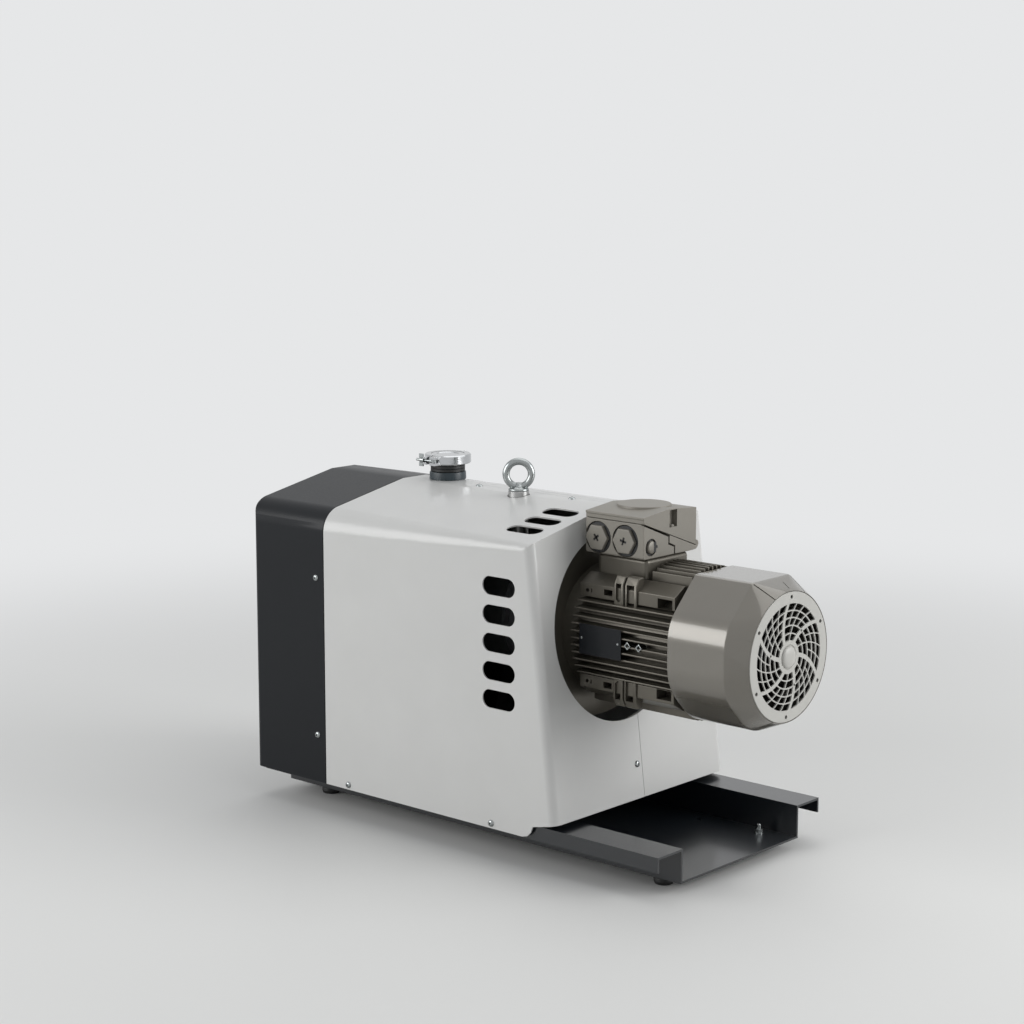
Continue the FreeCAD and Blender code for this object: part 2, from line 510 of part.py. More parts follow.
# Gearbox: a wall with seals and bearings behind the claws, the gear room, and a front cover.
wall_ways = []
for centre in (DRIVE, DRIVEN):
    wall_ways += [cylinder("shaft_way", "x", (f"{CHAMBER_FRONT} - 1",) + centre, "seal_land + 1.1",
                           "gearbox_wall + 2"),
                  cylinder("seal_seat", "x", (f"{BEARING_REAR} - 12",) + centre, "seal_outer", "13"),
                  cylinder("bearing_seat", "x", (BEARING_REAR,) + centre, "inner_bearing_outer",
                           "gearbox_wall")]
gear_room = racetrack("gear_room", GEAR_ROOM, f"{SPLIT} + 1", "casing_radius - casing_wall")
boss = cylinder("post_boss", "z", ("eye_x", "motor_y", "motor_z + 60"), "post_foot + 0.5",
                "casing_radius - 60")
GLASS = ("glass_x", "motor_y - casing_radius - 7", "motor_z - 20")
glass_seat = cylinder("glass_seat_body", "y", GLASS, "glass_seat", "30")
glass_way = cylinder("glass_way", "y", ("glass_x", "motor_y - casing_radius - 8", "motor_z - 20"),
                     "glass_radius", "50")
gearbox = fuse("gearbox", racetrack("gearbox_body", CHAMBER_FRONT, SPLIT, "casing_radius"), glass_seat,
               boss)
node("gear_housing", cut("gear_housing", gearbox, gear_room, glass_way, *(wall_ways + tie_threads)))
cover_ways = [cylinder("cover_bearing_seat", "x", (f"{SPLIT} - 1",) + centre, "outer_bearing_outer",
              "outer_bearing_width + 1") for centre in (DRIVE, DRIVEN)]
cover_ways.append(cylinder("cover_shaft_way", "x", (SPLIT,) + DRIVE, "shaft_nose + 1.1", "gear_cover + 1"))
cover_ways.append(cylinder("nose_seal_seat", "x", (f"{GEARBOX_FRONT} - 6",) + DRIVE, "nose_seal_outer",
                           "7"))
node("gear_cover", cut("gear_cover", racetrack("gear_cover_body", SPLIT, GEARBOX_FRONT, "casing_radius"),
                       *cover_ways))
node("sight_glass", turned_facing("sight_glass", GLASS, FACING["near"],
                                  [("-9", "0"), ("-9", "glass_radius"),
     ("0", "glass_radius"), ("0", "glass_seat - 2"), ("3", "glass_seat - 2"), ("4", "glass_seat - 3"),
     ("4", "9"), ("2", "8"), ("2", "0")]))


# Shafts: claw seat, seal land, bearing seats and a gear seat between them.
def shaft(name, centre, nose):
    inner, outer = "inner_bearing_bore - running_gap", "outer_bearing_bore - running_gap"
    gear_end = f"{GEAR_REAR} + gear_width"
    points = [(f"{CHAMBER_REAR} + claw_end_gap", "0"), (f"{CHAMBER_REAR} + claw_end_gap", "claw_seat - 1"),
              (f"{CHAMBER_REAR} + claw_end_gap + 1", "claw_seat"),
              (f"{CHAMBER_FRONT} - claw_end_gap", "claw_seat"),
              (f"{CHAMBER_FRONT} - claw_end_gap", "seal_land"), (BEARING_REAR, "seal_land"),
              (BEARING_REAR, inner),
              (f"{BEARING_REAR} + inner_bearing_width", inner),
              (f"{BEARING_REAR} + inner_bearing_width", "shaft_collar"),
              (GEAR_REAR, "shaft_collar"), (GEAR_REAR, "gear_seat"), (gear_end, "gear_seat"),
              (gear_end, "gear_seat - 1"), (SPLIT, "gear_seat - 1"), (SPLIT, outer),
              (f"{SPLIT} + outer_bearing_width", outer)]
    if nose:
        points += [(f"{SPLIT} + outer_bearing_width", "shaft_nose"), (f"{SPIDER_REAR} - 2", "shaft_nose"),
                   (f"{SPIDER_REAR} - 1", "shaft_nose - 1"), (f"{SPIDER_REAR} - 1", "0")]
    else:
        points.append((f"{SPLIT} + outer_bearing_width", "0"))
    return turned(name, "x", centre, points)


node("drive_shaft", shaft("drive_shaft", DRIVE, True))
node("driven_shaft", shaft("driven_shaft", DRIVEN, False))


def polar(radius, angle):
    return Vector(0, radius * math.cos(angle), radius * math.sin(angle))


def curve_through(points):
    curve = Part.BSplineCurve()
    curve.interpolate(points)
    return curve.toShape()


def rolled_point(pitch, roll, t):
    """Point of the curve traced by a circle rolling outside (roll > 0) or inside the pitch circle."""
    along, sum_radius = t * abs(roll) / pitch, pitch + roll
    x = sum_radius * math.cos(along) - roll * math.cos(sum_radius / abs(roll) * along)
    y = sum_radius * math.sin(along) - abs(roll) * math.sin(sum_radius / abs(roll) * along)
    return math.hypot(x, y), math.atan2(y, x)


def claw_wire():
    """Two lobed claw: hook flank swept by the mating tip, outer arc, eased cycloid heel and root arc."""
    spacing, tip, clear = VALUE["shaft_spacing"], VALUE["claw_tip"], VALUE["claw_clearance"]
    pitch = spacing / 2
    ease = VALUE["heel_relief"] / pitch
    roll = (tip + clear - pitch) / 2
    span = math.pi * roll / pitch
    arc = (math.pi - 2 * span) / 2
    root = spacing - tip - 2 * clear
    swept = spacing - root
    reach = math.acos((spacing ** 2 + swept ** 2 - tip ** 2) / (2 * spacing * swept))
    steps = 12
    hook = []
    for i in range(steps + 1):
        t = reach * i / steps
        x = spacing * math.cos(t) - swept * math.cos(2 * t)
        y = swept * math.sin(2 * t) - spacing * math.sin(t)
        hook.append((math.hypot(x, y), math.atan2(y, x)))
    heel = []
    for i in range(steps + 1):
        radius, angle = rolled_point(pitch, roll, math.pi * (1 - i / steps))
        heel.append((radius - clear, arc + span - ease - angle))
    for i in range(1, steps + 1):
        radius, angle = rolled_point(pitch, -roll, math.pi * i / steps)
        heel.append((radius - clear, arc + span - ease + angle))
    edges = []
    for half_turn in (0, math.pi):
        hook_points = [polar(radius, angle + half_turn) for radius, angle in hook]
        heel_points = [polar(radius, angle + half_turn) for radius, angle in heel]
        crown = polar(tip, (hook[-1][1] + heel[0][1]) / 2 + half_turn)
        valley = polar(root, (heel[-1][1] + math.pi) / 2 + half_turn)
        edges += [curve_through(hook_points), Part.Arc(hook_points[-1], crown, heel_points[0]).toShape(),
                  curve_through(heel_points),
                  Part.Arc(heel_points[-1], valley, polar(root, math.pi + half_turn)).toShape()]
    return Part.Wire(Part.__sortEdges__(edges))


def extruded(name, wire, centre, low, length, spin):
    """Section drawn by a formula, set on a shaft axis and made solid along X."""
    section = add("Part::Feature", name + "_section")
    section.Shape = Part.Face(wire)
    place(section, (low,) + centre, Rotation(Vector(1, 0, 0), spin))
    obj = add("Part::Extrusion", name + "_solid")
    obj.Base = section
    obj.DirMode = "Custom"
    obj.Dir = Vector(1, 0, 0)
    obj.Solid = True
    return bind(obj, LengthFwd=length)


def claw(name, centre, spin):
    body = extruded(name, claw_wire(), centre, f"{CHAMBER_REAR} + claw_end_gap",
                    "chamber_length - 2 * claw_end_gap", spin)
    return cut(name, body, cylinder(name + "_bore", "x", (f"{CHAMBER_REAR} - 1",) + centre, "claw_seat",
                                    "chamber_length + 2"))


node("drive_claw", claw("drive_claw", DRIVE, 0))
node("driven_claw", claw("driven_claw", DRIVEN, 180))


def gear_wire():
    """Involute spur teeth with backlash; each flank is drawn through five points."""
    module, teeth, play = VALUE["gear_module"], int(VALUE["gear_teeth"]), 0.22
    pitch = module * teeth / 2
    base, top, bottom = pitch * math.cos(math.radians(20)), pitch + module, pitch - 1.25 * module

    def lag(radius):
        ratio = base / radius
        return math.sqrt(1 / ratio ** 2 - 1) - math.acos(ratio)
    half = (math.pi * module / 4 - play) / pitch + lag(pitch)
    flank = [(bottom, half - 0.004)]
    flank += [(radius, half - lag(radius)) for radius in (base + 0.05, pitch - 0.6, pitch + 1.2, top)]
    spots = []
    for k in range(teeth):
        middle = 2 * math.pi * k / teeth
        spots += [polar(radius, middle - angle) for radius, angle in flank]
        spots += [polar(radius, middle + angle) for radius, angle in reversed(flank)]
    return Part.makePolygon(spots + spots[:1])


def gear(name, centre, spin):
    body = extruded(name, gear_wire(), centre, GEAR_REAR, "gear_width", spin)
    return cut(name, body, cylinder(name + "_bore", "x", (f"{GEAR_REAR} - 1",) + centre, "gear_seat",
                                    "gear_width + 2"))


node("drive_gear", gear("drive_gear", DRIVE, 0))
node("driven_gear", gear("driven_gear", DRIVEN, 180.0 / VALUE["gear_teeth"]))


def bearing(name, centre, low, width, bore, outside):
    """Ball bearing as one turned solid, with the groove between its rings on both sides."""
    high, lift = f"{low} + {width}", f"0.28 * ({outside} - {bore})"
    return turned(name, "x", centre, [(low, bore), (low, f"{bore} + {lift}"),
                                      (f"{low} + 2", f"{bore} + {lift}"),
                  (f"{low} + 2", f"{outside} - {lift}"), (low, f"{outside} - {lift}"), (low, outside),
                  (high, outside), (high, f"{outside} - {lift}"), (f"{high} - 2", f"{outside} - {lift}"),
                  (f"{high} - 2", f"{bore} + {lift}"), (high, f"{bore} + {lift}"), (high, bore)])


def lip_seal(name, centre, low, width, outside, land):
    high = f"{low} + {width}"
    return turned(name, "x", centre, [(low, f"{outside} - 1.5"), (low, outside), (high, outside),
                  (high, f"{land} + running_gap"), (f"{high} - 1.5", f"{land} + running_gap"),
                  (f"{high} - 2.5", f"{outside} - 1.5")])


pump_bearings = []
for centre in (DRIVE, DRIVEN):
    pump_bearings.append(bearing("wall_bearing", centre, BEARING_REAR, "inner_bearing_width",
                                 "inner_bearing_bore", "inner_bearing_outer"))
    pump_bearings.append(bearing("cover_bearing", centre, SPLIT, "outer_bearing_width",
                                 "outer_bearing_bore", "outer_bearing_outer"))
node("pump_bearings", group("pump_bearings", *pump_bearings))
seals = [lip_seal("wall_seal", centre, f"{BEARING_REAR} - 12", "8", "seal_outer", "seal_land")
         for centre in (DRIVE, DRIVEN)]
seals.append(lip_seal("nose_seal", DRIVE, f"{GEARBOX_FRONT} - 6", "6", "nose_seal_outer", "shaft_nose"))
node("shaft_seals", group("shaft_seals", *seals))

# Bell housing and jaw coupling between the gearbox and the flange motor.
bell = turned("bell_body", "x", DRIVE, [(GEARBOX_FRONT, "shaft_nose + 4"), (GEARBOX_FRONT, "bell_foot"),
              (f"{GEARBOX_FRONT} + 10", "bell_foot"), (f"{GEARBOX_FRONT} + 10", "bell_outer"),
              (f"{MOTOR_FACE} - 2 * flange", "bell_outer"), (f"{MOTOR_FACE} - flange", "bell_outer + 12"),
              (f"{MOTOR_FACE} - flange", "motor_flange_radius"), (MOTOR_FACE, "motor_flange_radius"),
              (MOTOR_FACE, "bell_inner"), (f"{GEARBOX_FRONT} + 10", "bell_inner"),
              (f"{GEARBOX_FRONT} + 10", "shaft_nose + 4")])
windows = [box("bell_window", (f"{GEARBOX_FRONT} + 16", f"{MOTOR_FACE} - 34"), (low, high),
           ("motor_z - window_half", "motor_z + window_half")) for low, high in
           (("motor_y - 80", "motor_y - 46"), ("motor_y + 46", "motor_y + 80"))]
node("bell_housing", cut("bell_housing", bell, *windows))


def hub(name, body_low, body_high, jaw_low, jaw_high, start):
    """Coupling half: a sleeve on the shaft and three jaws over the spider."""
    body = ring(name + "_sleeve", "x", DRIVE, body_low, body_high, "shaft_nose", "hub_radius")
    band = ring(name + "_band", "x", DRIVE, jaw_low, jaw_high, "spider_bore", "hub_radius")
    gaps = [sector(name + "_gap", (f"{jaw_low} - 5",) + DRIVE, "hub_radius + 5", "spider_length + 10",
                   start + 120 * i, 72) for i in range(3)]
    return fuse(name, body, cut(name + "_jaws", band, *gaps))


node("drive_hub", hub("drive_hub", HUB_REAR, SPIDER_REAR, SPIDER_REAR, f"{MOTOR_HUB} - 1", 0))
node("motor_hub", hub("motor_hub", MOTOR_HUB, f"{MOTOR_FACE} - flange", f"{SPIDER_REAR} + 1", MOTOR_HUB,
                      60))
legs = [sector("spider_leg", (f"{SPIDER_REAR} + 1",) + DRIVE, "hub_radius - 1", "spider_length - 2",
               60 * i + 1, 10)
        for i in range(6)]
spider_core = ring("spider_core", "x", DRIVE, f"{SPIDER_REAR} + 1", f"{MOTOR_HUB} - 1", "9", "spider_bore")
node("coupling_spider", cut("coupling_spider", fuse("spider_body", spider_core, *legs),
     cylinder("spider_eye", "x", (SPIDER_REAR,) + DRIVE, "9", "spider_length")))

# Motor: flanged end shield, finned frame, core, coils, rotor, bearings, fan and cowl.
SEAT_END = f"{MOTOR_FACE} + flange + outer_bearing_width"
node("drive_end_shield", turned("drive_end_shield", "x", DRIVE, [(MOTOR_FACE, "shaft_nose + 1.1"),
     (MOTOR_FACE, "motor_flange_radius"), (f"{MOTOR_FACE} + flange", "motor_flange_radius"),
     (f"{MOTOR_FACE} + flange", "frame_radius + 6"), (FRAME_REAR, "frame_radius"),
     (FRAME_REAR, "frame_bore"),
     (f"{FRAME_REAR} + 5", "frame_bore"), (f"{FRAME_REAR} + 5", "frame_bore - 6"),
     (f"{MOTOR_FACE} + flange", "frame_bore - 10"), (f"{MOTOR_FACE} + flange", "outer_bearing_outer + 7"),
     (SEAT_END, "outer_bearing_outer + 7"), (SEAT_END, "outer_bearing_outer"),
     (f"{MOTOR_FACE} + flange", "outer_bearing_outer"), (f"{MOTOR_FACE} + flange", "shaft_nose + 1.1")]))

frame_parts = [ring("frame_tube", "x", DRIVE, FRAME_REAR, FRAME_FRONT, "frame_bore", "frame_radius")]
for side in ("-", "+"):
    for k in range(-5, 6):
        tip = f"motor_y {side} sqrt(fin_tip * fin_tip - {k * k} * fin_pitch * fin_pitch)"
        root = f"motor_y {side} 60"
        span = (tip, root) if side == "-" else (root, tip)
        frame_parts.append(box("side_fin", (f"{FRAME_REAR} + 2", f"{FRAME_FRONT} - 2"), span,
                           (f"motor_z + {k} * fin_pitch - fin_thickness / 2",
                            f"motor_z + {k} * fin_pitch + fin_thickness / 2")))
    near, far = f"motor_y {side} rail_reach", f"motor_y {side} 50"
    for z in (("motor_z + rail_low", "motor_z + rail_high"), ("motor_z - rail_high", "motor_z - rail_low")):
        frame_parts.append(box("rail", (f"{FRAME_REAR} + 7", f"{FRAME_FRONT} - 12"),
                           (near, far) if side == "-" else (far, near), z))
for k in range(-5, 6):
    pitch = "(fin_pitch - 1.1)"
    tip = f"sqrt(tall_fin_tip * tall_fin_tip - {k * k} * {pitch} * {pitch})"
    y = (f"motor_y + {k} * {pitch} - fin_thickness / 2", f"motor_y + {k} * {pitch} + fin_thickness / 2")
    frame_parts.append(box("top_fin", ("neck_front + 4", "cowl_rear - 2"), y,
                           ("motor_z + 60", f"motor_z + {tip}")))
    frame_parts.append(box("bottom_fin", (f"{FRAME_REAR} + 2", "cowl_rear - 2"), y,
                       (f"motor_z - {tip}", "motor_z - 60")))
frame_parts.append(box("neck", ("neck_rear", "neck_front"), ("neck_near_y", "neck_far_y"),
                   ("motor_z + 58", "box_bottom")))
bore_way = cylinder("frame_bore_way", "x", (f"{FRAME_REAR} - 1",) + DRIVE, "frame_bore", "frame_length + 2")
cable_hole = cylinder("cable_hole", "z", (NECK_X, "motor_y", "motor_z + 60"), "cable_way", "60")
node("motor_housing", cut("motor_housing", fuse("frame_body", *frame_parts), bore_way, cable_hole))
FAN_BEARING_END = f"{FAN_BEARING} + fan_bearing_width"
node("fan_end_shield", turned("fan_end_shield", "x", DRIVE, [(FRAME_FRONT, "fan_bearing_outer + 6"),
     (FAN_BEARING, "fan_bearing_outer + 6"), (FAN_BEARING, "fan_bearing_outer"),
     (FAN_BEARING_END, "fan_bearing_outer"), (FAN_BEARING_END, "fan_bearing_bore + 1"),
     (f"{FAN_BEARING_END} + 3", "fan_bearing_bore + 1"),
     (f"{FAN_BEARING_END} + 3", "fan_bearing_outer + 8"),
     (f"{FRAME_FRONT} + 8", "frame_radius - 4"), (f"{FRAME_FRONT} + 8", "shield_rim"),
     (FRAME_FRONT, "shield_rim")]))
node("stator_core", ring("stator_core", "x", DRIVE, CORE_REAR, CORE_FRONT, "rotor_radius + air_gap",
                         "frame_bore"))
coils = []
for low, high in ((f"{CORE_REAR} - coil_length", CORE_REAR), (CORE_FRONT, f"{CORE_FRONT} + coil_length")):
    coils.append(turned("coil_head", "x", DRIVE, [(low, "rotor_radius + 5.5"),
                                                  (f"{low} + 4", "rotor_radius + 3"),
                 (f"{high} - 4", "rotor_radius + 3"), (high, "rotor_radius + 5.5"),
                 (high, "frame_bore - 10"),
                 (f"{high} - 4", "frame_bore - 6"), (f"{low} + 4", "frame_bore - 6"),
                 (low, "frame_bore - 10")]))
node("stator_windings", group("stator_windings", *coils))
node("motor_rotor", turned("motor_rotor", "x", DRIVE, [(CORE_REAR, "rotor_seat"), (CORE_REAR, "30"),
     (f"{CORE_REAR} - 8", "30"), (f"{CORE_REAR} - 8", "rotor_radius - 2.5"),
     (CORE_REAR, "rotor_radius - 2.5"),
     (CORE_REAR, "rotor_radius"), (CORE_FRONT, "rotor_radius"), (CORE_FRONT, "rotor_radius - 2.5"),
     (f"{CORE_FRONT} + 8", "rotor_radius - 2.5"), (f"{CORE_FRONT} + 8", "30"), (CORE_FRONT, "30"),
     (CORE_FRONT, "rotor_seat")]))
OUTER_SEAT, FAN_END_SEAT = "outer_bearing_bore - running_gap", "fan_bearing_bore - running_gap"
node("motor_shaft", turned("motor_shaft", "x", DRIVE,
                           [(f"{MOTOR_HUB} + 1", "0"), (f"{MOTOR_HUB} + 1", "shaft_nose"),
     (f"{MOTOR_FACE} + flange", "shaft_nose"), (f"{MOTOR_FACE} + flange", OUTER_SEAT),
     (SEAT_END, OUTER_SEAT),
     (SEAT_END, "rotor_seat + 2"), (f"{CORE_REAR} - 10", "rotor_seat + 2"),
     (f"{CORE_REAR} - 10", "rotor_seat"),
     (f"{CORE_FRONT} + 4", "rotor_seat"), (f"{CORE_FRONT} + 4", "rotor_seat - 1"),
     (FAN_BEARING, "rotor_seat - 1"),
     (FAN_BEARING, FAN_END_SEAT), (f"{FAN_BEARING_END} + 4", FAN_END_SEAT),
     (f"{FAN_BEARING_END} + 4", "fan_seat"),
     (f"{FAN_REAR} + fan_depth", "fan_seat"), (f"{FAN_REAR} + fan_depth", "0")]))
node("motor_bearings", group("motor_bearings", bearing("motor_front_bearing", DRIVE,
                                                       f"({MOTOR_FACE} + flange)",
     "outer_bearing_width", "outer_bearing_bore", "outer_bearing_outer"),
     bearing("motor_fan_bearing", DRIVE,
     FAN_BEARING, "fan_bearing_width", "fan_bearing_bore", "fan_bearing_outer")))

fan_parts = [turned("fan_hub", "x", DRIVE, [(FAN_REAR, "fan_seat"), (FAN_REAR, "24"),
                                            (f"{FAN_REAR} + 6", "24"),
             (f"{FAN_REAR} + 6", "fan_tip - 4"), (f"{FAN_REAR} + 8.5", "fan_tip - 4"),
             (f"{FAN_REAR} + 8.5", "20"),
             (f"{FAN_REAR} + fan_depth", "18"), (f"{FAN_REAR} + fan_depth", "fan_seat")])]
BLADE_ROOT, HALF_BLADE = 17, VALUE["blade"] / 2
for i in range(8):
    turn = Rotation(Vector(1, 0, 0), 45 * i)
    shift = turn.multVec(Vector(0, -HALF_BLADE, BLADE_ROOT))
    blade = add("Part::Box", "fan_blade")
    bind(blade, Length="fan_depth - 6", Width="blade", Height=f"fan_tip - {BLADE_ROOT}")
    place(blade, (f"{FAN_REAR} + 8", f"motor_y + ({shift.y:.4f})", f"motor_z + ({shift.z:.4f})"), turn)
    fan_parts.append(blade)
node("cooling_fan", fuse("cooling_fan", *fan_parts))


def octagon(name, x, apothem):
    obj = add("Part::RegularPolygon", name)
    obj.Polygon = 8
    bind(obj, Circumradius=f"({apothem}) * {1 / math.cos(math.pi / 8):.7f}")
    return place(obj, (x,) + DRIVE, TURN["x"].multiply(Rotation(Vector(0, 0, 1), 22.5)))


def cowl_body(name, inset, low, high):
    """Octagonal tube with a tapered front, its long corners rounded, widely at the front end."""
    lofts = []
    for start, end, first, second in ((low, "cowl_taper_x", "cowl_apothem", "cowl_apothem"),
                                      ("cowl_taper_x", high, "cowl_apothem", "cowl_end_apothem")):
        loft = add("Part::Loft", name + "_loft")
        loft.Sections = [octagon(name + "_ring", start, f"{first} - {inset}"),
                         octagon(name + "_ring", end, f"{second} - {inset}")]
        loft.Solid, loft.Ruled = True, True
        lofts.append(loft)
    less, taper = number(inset), VALUE["cowl_taper_x"]
    narrow, wide = VALUE["cowl_corner"] - less, VALUE["cowl_front_corner"] - less

    def choose(a, b):
        if abs(a.x - b.x) < 15:
            return None
        return tuple(wide if point.x > taper + 1 else narrow for point in (a, b))
    return rounded(name, fuse(name + "_raw", *lofts), choose)


mouth = cylinder("cowl_mouth", "x", ("cowl_front - 10",) + DRIVE, "grille_radius - 6", "20")
grille_seat = cylinder("grille_seat", "x", ("cowl_front - grille_sheet",) + DRIVE, "grille_radius", "10")
node("fan_cowl", cut("fan_cowl", cowl_body("cowl_outer", "0", "cowl_rear", "cowl_front"),
     cowl_body("cowl_inner", "cowl_wall", "cowl_rear - 1", "cowl_front - cowl_wall"), mouth, grille_seat))
grille = ring("grille_disc", "x", DRIVE, "cowl_front - grille_sheet", "cowl_front", "0", "grille_radius")
# Five rows of air gaps between six spokes that swirl by a little over half a degree per millimetre.
SWIRL, SPOKE_START, SPOKE_ROOT = 0.565, 32.0, 17.0
air_slots = []
for row in range(5):
    low = f"slot_row_inner + {row} * slot_row_pitch"
    middle_radius = number(low) + VALUE["slot_row_height"] / 2
    half = math.degrees(VALUE["spoke_half"] / middle_radius)
    first = SPOKE_START - SWIRL * (middle_radius - SPOKE_ROOT) + half
    for i in range(6):
        wedge = sector("air_gap_wedge", ("cowl_front - 4",) + DRIVE, f"{low} + slot_row_height", "6",
                       60 * i + first, 60 - 2 * half)
        middle = cylinder("air_gap_core", "x", ("cowl_front - 5",) + DRIVE, low, "9")
        air_slots.append(cut("air_slot", wedge, middle))
BALL = "((dome_radius * dome_radius + dome_height * dome_height) / (2 * dome_height))"
ball = add("Part::Sphere", "dome_ball")
bind(ball, Radius=BALL)
place(ball, (f"cowl_front + dome_height - {BALL}",) + DRIVE)
dome = common("dome", ball, cylinder("dome_room", "x", ("cowl_front - 0.5",) + DRIVE, "dome_radius", "9"))
node("fan_grille", fuse("fan_grille", cut("grille_bars", grille, *air_slots), dome))

# Terminal box on the neck of the frame, with a sloped parting line, blanking plugs and a board.
X_WALLS = ("box_rear + box_wall", "box_front - box_wall")
box_block = slab("box_block", "yz", [("box_near_y", "box_bottom"), ("box_far_y", "box_bottom"),
                 ("box_far_y", "box_split_far"), ("box_near_y", "box_split_near")], "box_rear", "box_front")
box_room = box("box_room", X_WALLS, ("box_near_y + box_wall", "box_far_y - 4 * box_wall"),
               ("box_bottom + box_wall", SKY))
box_eye = cylinder("box_eye", "z", (NECK_X, "motor_y", "box_bottom - 1"), "cable_way", "30")
PLUG_X = ("plug_rear_x", "plug_rear_x + plug_pitch")
plug_ways = [cylinder("plug_way", "y", (x, "box_near_y - 1", "plug_z"), "plug_thread", "8") for x in PLUG_X]
plug_ways += [cylinder("plug_seat_way", "y", (x, "box_near_y - 1", "plug_z"), "plug_seat",
                       "2.5") for x in PLUG_X]
side_way = cylinder("side_plug_way", "x", ("box_front - 6", "side_plug_y", "side_plug_z"),
                    "side_plug_thread", "8")
node("terminal_box", cut("terminal_box", box_block, box_room, box_eye, side_way, *plug_ways))
lid_block = slab("lid_block", "yz", [("box_near_y", "box_split_near + lid_gap"),
                                     ("box_near_y", "lid_near_z"),
                 ("lid_ridge_y", "lid_ridge_z"), ("box_far_y", "lid_near_z"),
                 ("box_far_y", "box_split_far + lid_gap")], "box_rear", "box_front")
lid_room = slab("lid_room", "yz", [("box_near_y + box_wall", "box_bottom"),
                ("box_near_y + box_wall", "lid_near_z - box_wall"),
                ("lid_ridge_y", "lid_ridge_z - box_wall"),
                ("box_far_y - box_wall", "lid_near_z - box_wall"), ("box_far_y - box_wall", "box_bottom")],
                *X_WALLS)
lid_disc = cylinder("lid_disc_body", "z", ("(box_rear + box_front) / 2", "lid_ridge_y + 6",
                                           "lid_near_z - 2"),
                    "lid_disc", "lid_ridge_z - lid_near_z + 2.6")
node("terminal_lid", fuse("terminal_lid", cut("lid_shell", lid_block, lid_room), lid_disc))
board = box("board", ("box_rear + 16", "box_front - 16"),
            ("box_near_y + box_wall + 3", "motor_y - cable_way - 3"),
            ("box_bottom + box_wall", "box_bottom + box_wall + 6"))
posts = [cylinder("terminal_post", "z", (f"(box_rear + box_front) / 2 + {dx}",
                                         f"box_near_y + box_wall + {dy}",
         "box_bottom + box_wall + 5"), "2.5", "14") for dx in (-18, 0, 18) for dy in (9, 22)]
node("terminal_board", fuse("terminal_board", board, *posts))
plugs = []
for x in PLUG_X:
    head = hexagon("plug_head", "y", (x, "box_near_y - 3.5", "plug_z"), "plug_flats", "5")
    thread = cylinder("plug_shank", "y", (x, "box_near_y + 1", "plug_z"), "plug_thread", "6")
    bars = [box("plug_cross", (f"{x} - {a}", f"{x} + {a}"), ("box_near_y - 5", "box_near_y - 1.5"),
                (f"plug_z - {b}", f"plug_z + {b}")) for a, b in ((6, 1.2), (1.2, 6))]
    plugs.append(cut("plug", fuse("plug_body", head, thread), *bars))
node("blanking_plugs", group("blanking_plugs", *plugs))
side_plug = turned("side_plug", "x", ("side_plug_y", "side_plug_z"), [("box_front - 5", "0"),
                   ("box_front - 5", "side_plug_thread"), ("box_front", "side_plug_thread"),
                   ("box_front", "side_plug_head"), ("box_front + 3.2", "side_plug_head"),
                   ("box_front + 4", "side_plug_head - 0.8"), ("box_front + 4", "0")])
side_slot = box("side_plug_slot", ("box_front + 2", "box_front + 6"),
                ("side_plug_y - 12", "side_plug_y + 12"),
                ("side_plug_z - 1.2", "side_plug_z + 1.2"))
node("slotted_plug", cut("slotted_plug", side_plug, side_slot))

# Inlet: pipe with the non-return valve inside, closing flange, seal and hinged clamp.
pipe = turned("pipe_body", "z", INLET, [(CASING_TOP, "pipe_bore"), (CASING_TOP, "pipe_flange"),
              (f"{CASING_TOP} + 9", "pipe_flange"), (f"{CASING_TOP} + 9", "pipe_outer"),
              ("port_face_z - 5.5", "pipe_outer"), ("port_face_z - 2.6", "port_radius"),
              ("port_face_z", "port_radius"), ("port_face_z", "pipe_bore"),
              ("valve_seat_z + 6", "pipe_bore"),
              ("valve_seat_z + 6", "seat_bore"), ("valve_seat_z", "seat_bore"),
              ("valve_seat_z", "pipe_bore")])
guide = ring("stem_guide", "z", INLET, f"{CASING_TOP} + 4", f"{CASING_TOP} + 12", "stem_radius + 0.4", "8")
arms = [box("guide_arm", (f"inlet_x {side[0]}", f"inlet_x {side[1]}"), ("inlet_y - 2", "inlet_y + 2"),
            (f"{CASING_TOP} + 4", f"{CASING_TOP} + 9")) for side in (("- pipe_bore - 0.5", "- 7"),
                                                                     ("+ 7", "+ pipe_bore + 0.5"))]
node("inlet_pipe", fuse("inlet_pipe", pipe, guide, *arms))
node("valve_plate", turned("valve_body", "z", INLET,
                           [(f"{CASING_TOP} + 3", "0"), (f"{CASING_TOP} + 3", "stem_radius"),
     ("valve_seat_z - valve_plate", "stem_radius"), ("valve_seat_z - valve_plate", "valve_radius"),
     ("valve_seat_z", "valve_radius"), ("valve_seat_z", "0")]))
COIL_LOW = f"({CASING_TOP} + 9 + coil_wire + rest_gap)"
COIL_HEIGHT = f"(valve_seat_z - valve_plate - coil_wire - rest_gap - {COIL_LOW})"
coil = add("Part::Helix", "valve_coil")
bind(coil, Pitch=f"{COIL_HEIGHT} / 5", Radius="coil_radius", Height=COIL_HEIGHT)
place(coil, INLET + (COIL_LOW,))
wire = add("Part::Circle", "valve_wire")
bind(wire, Radius="coil_wire")
place(wire, ("inlet_x + coil_radius", "inlet_y", COIL_LOW), Rotation(Vector(1, 0, 0), 90))
spring = add("Part::Sweep", "valve_spring")
spring.Sections = [wire]
spring.Spine = (coil, ["Edge1"])
spring.Solid, spring.Frenet = True, True
node("valve_spring", spring)
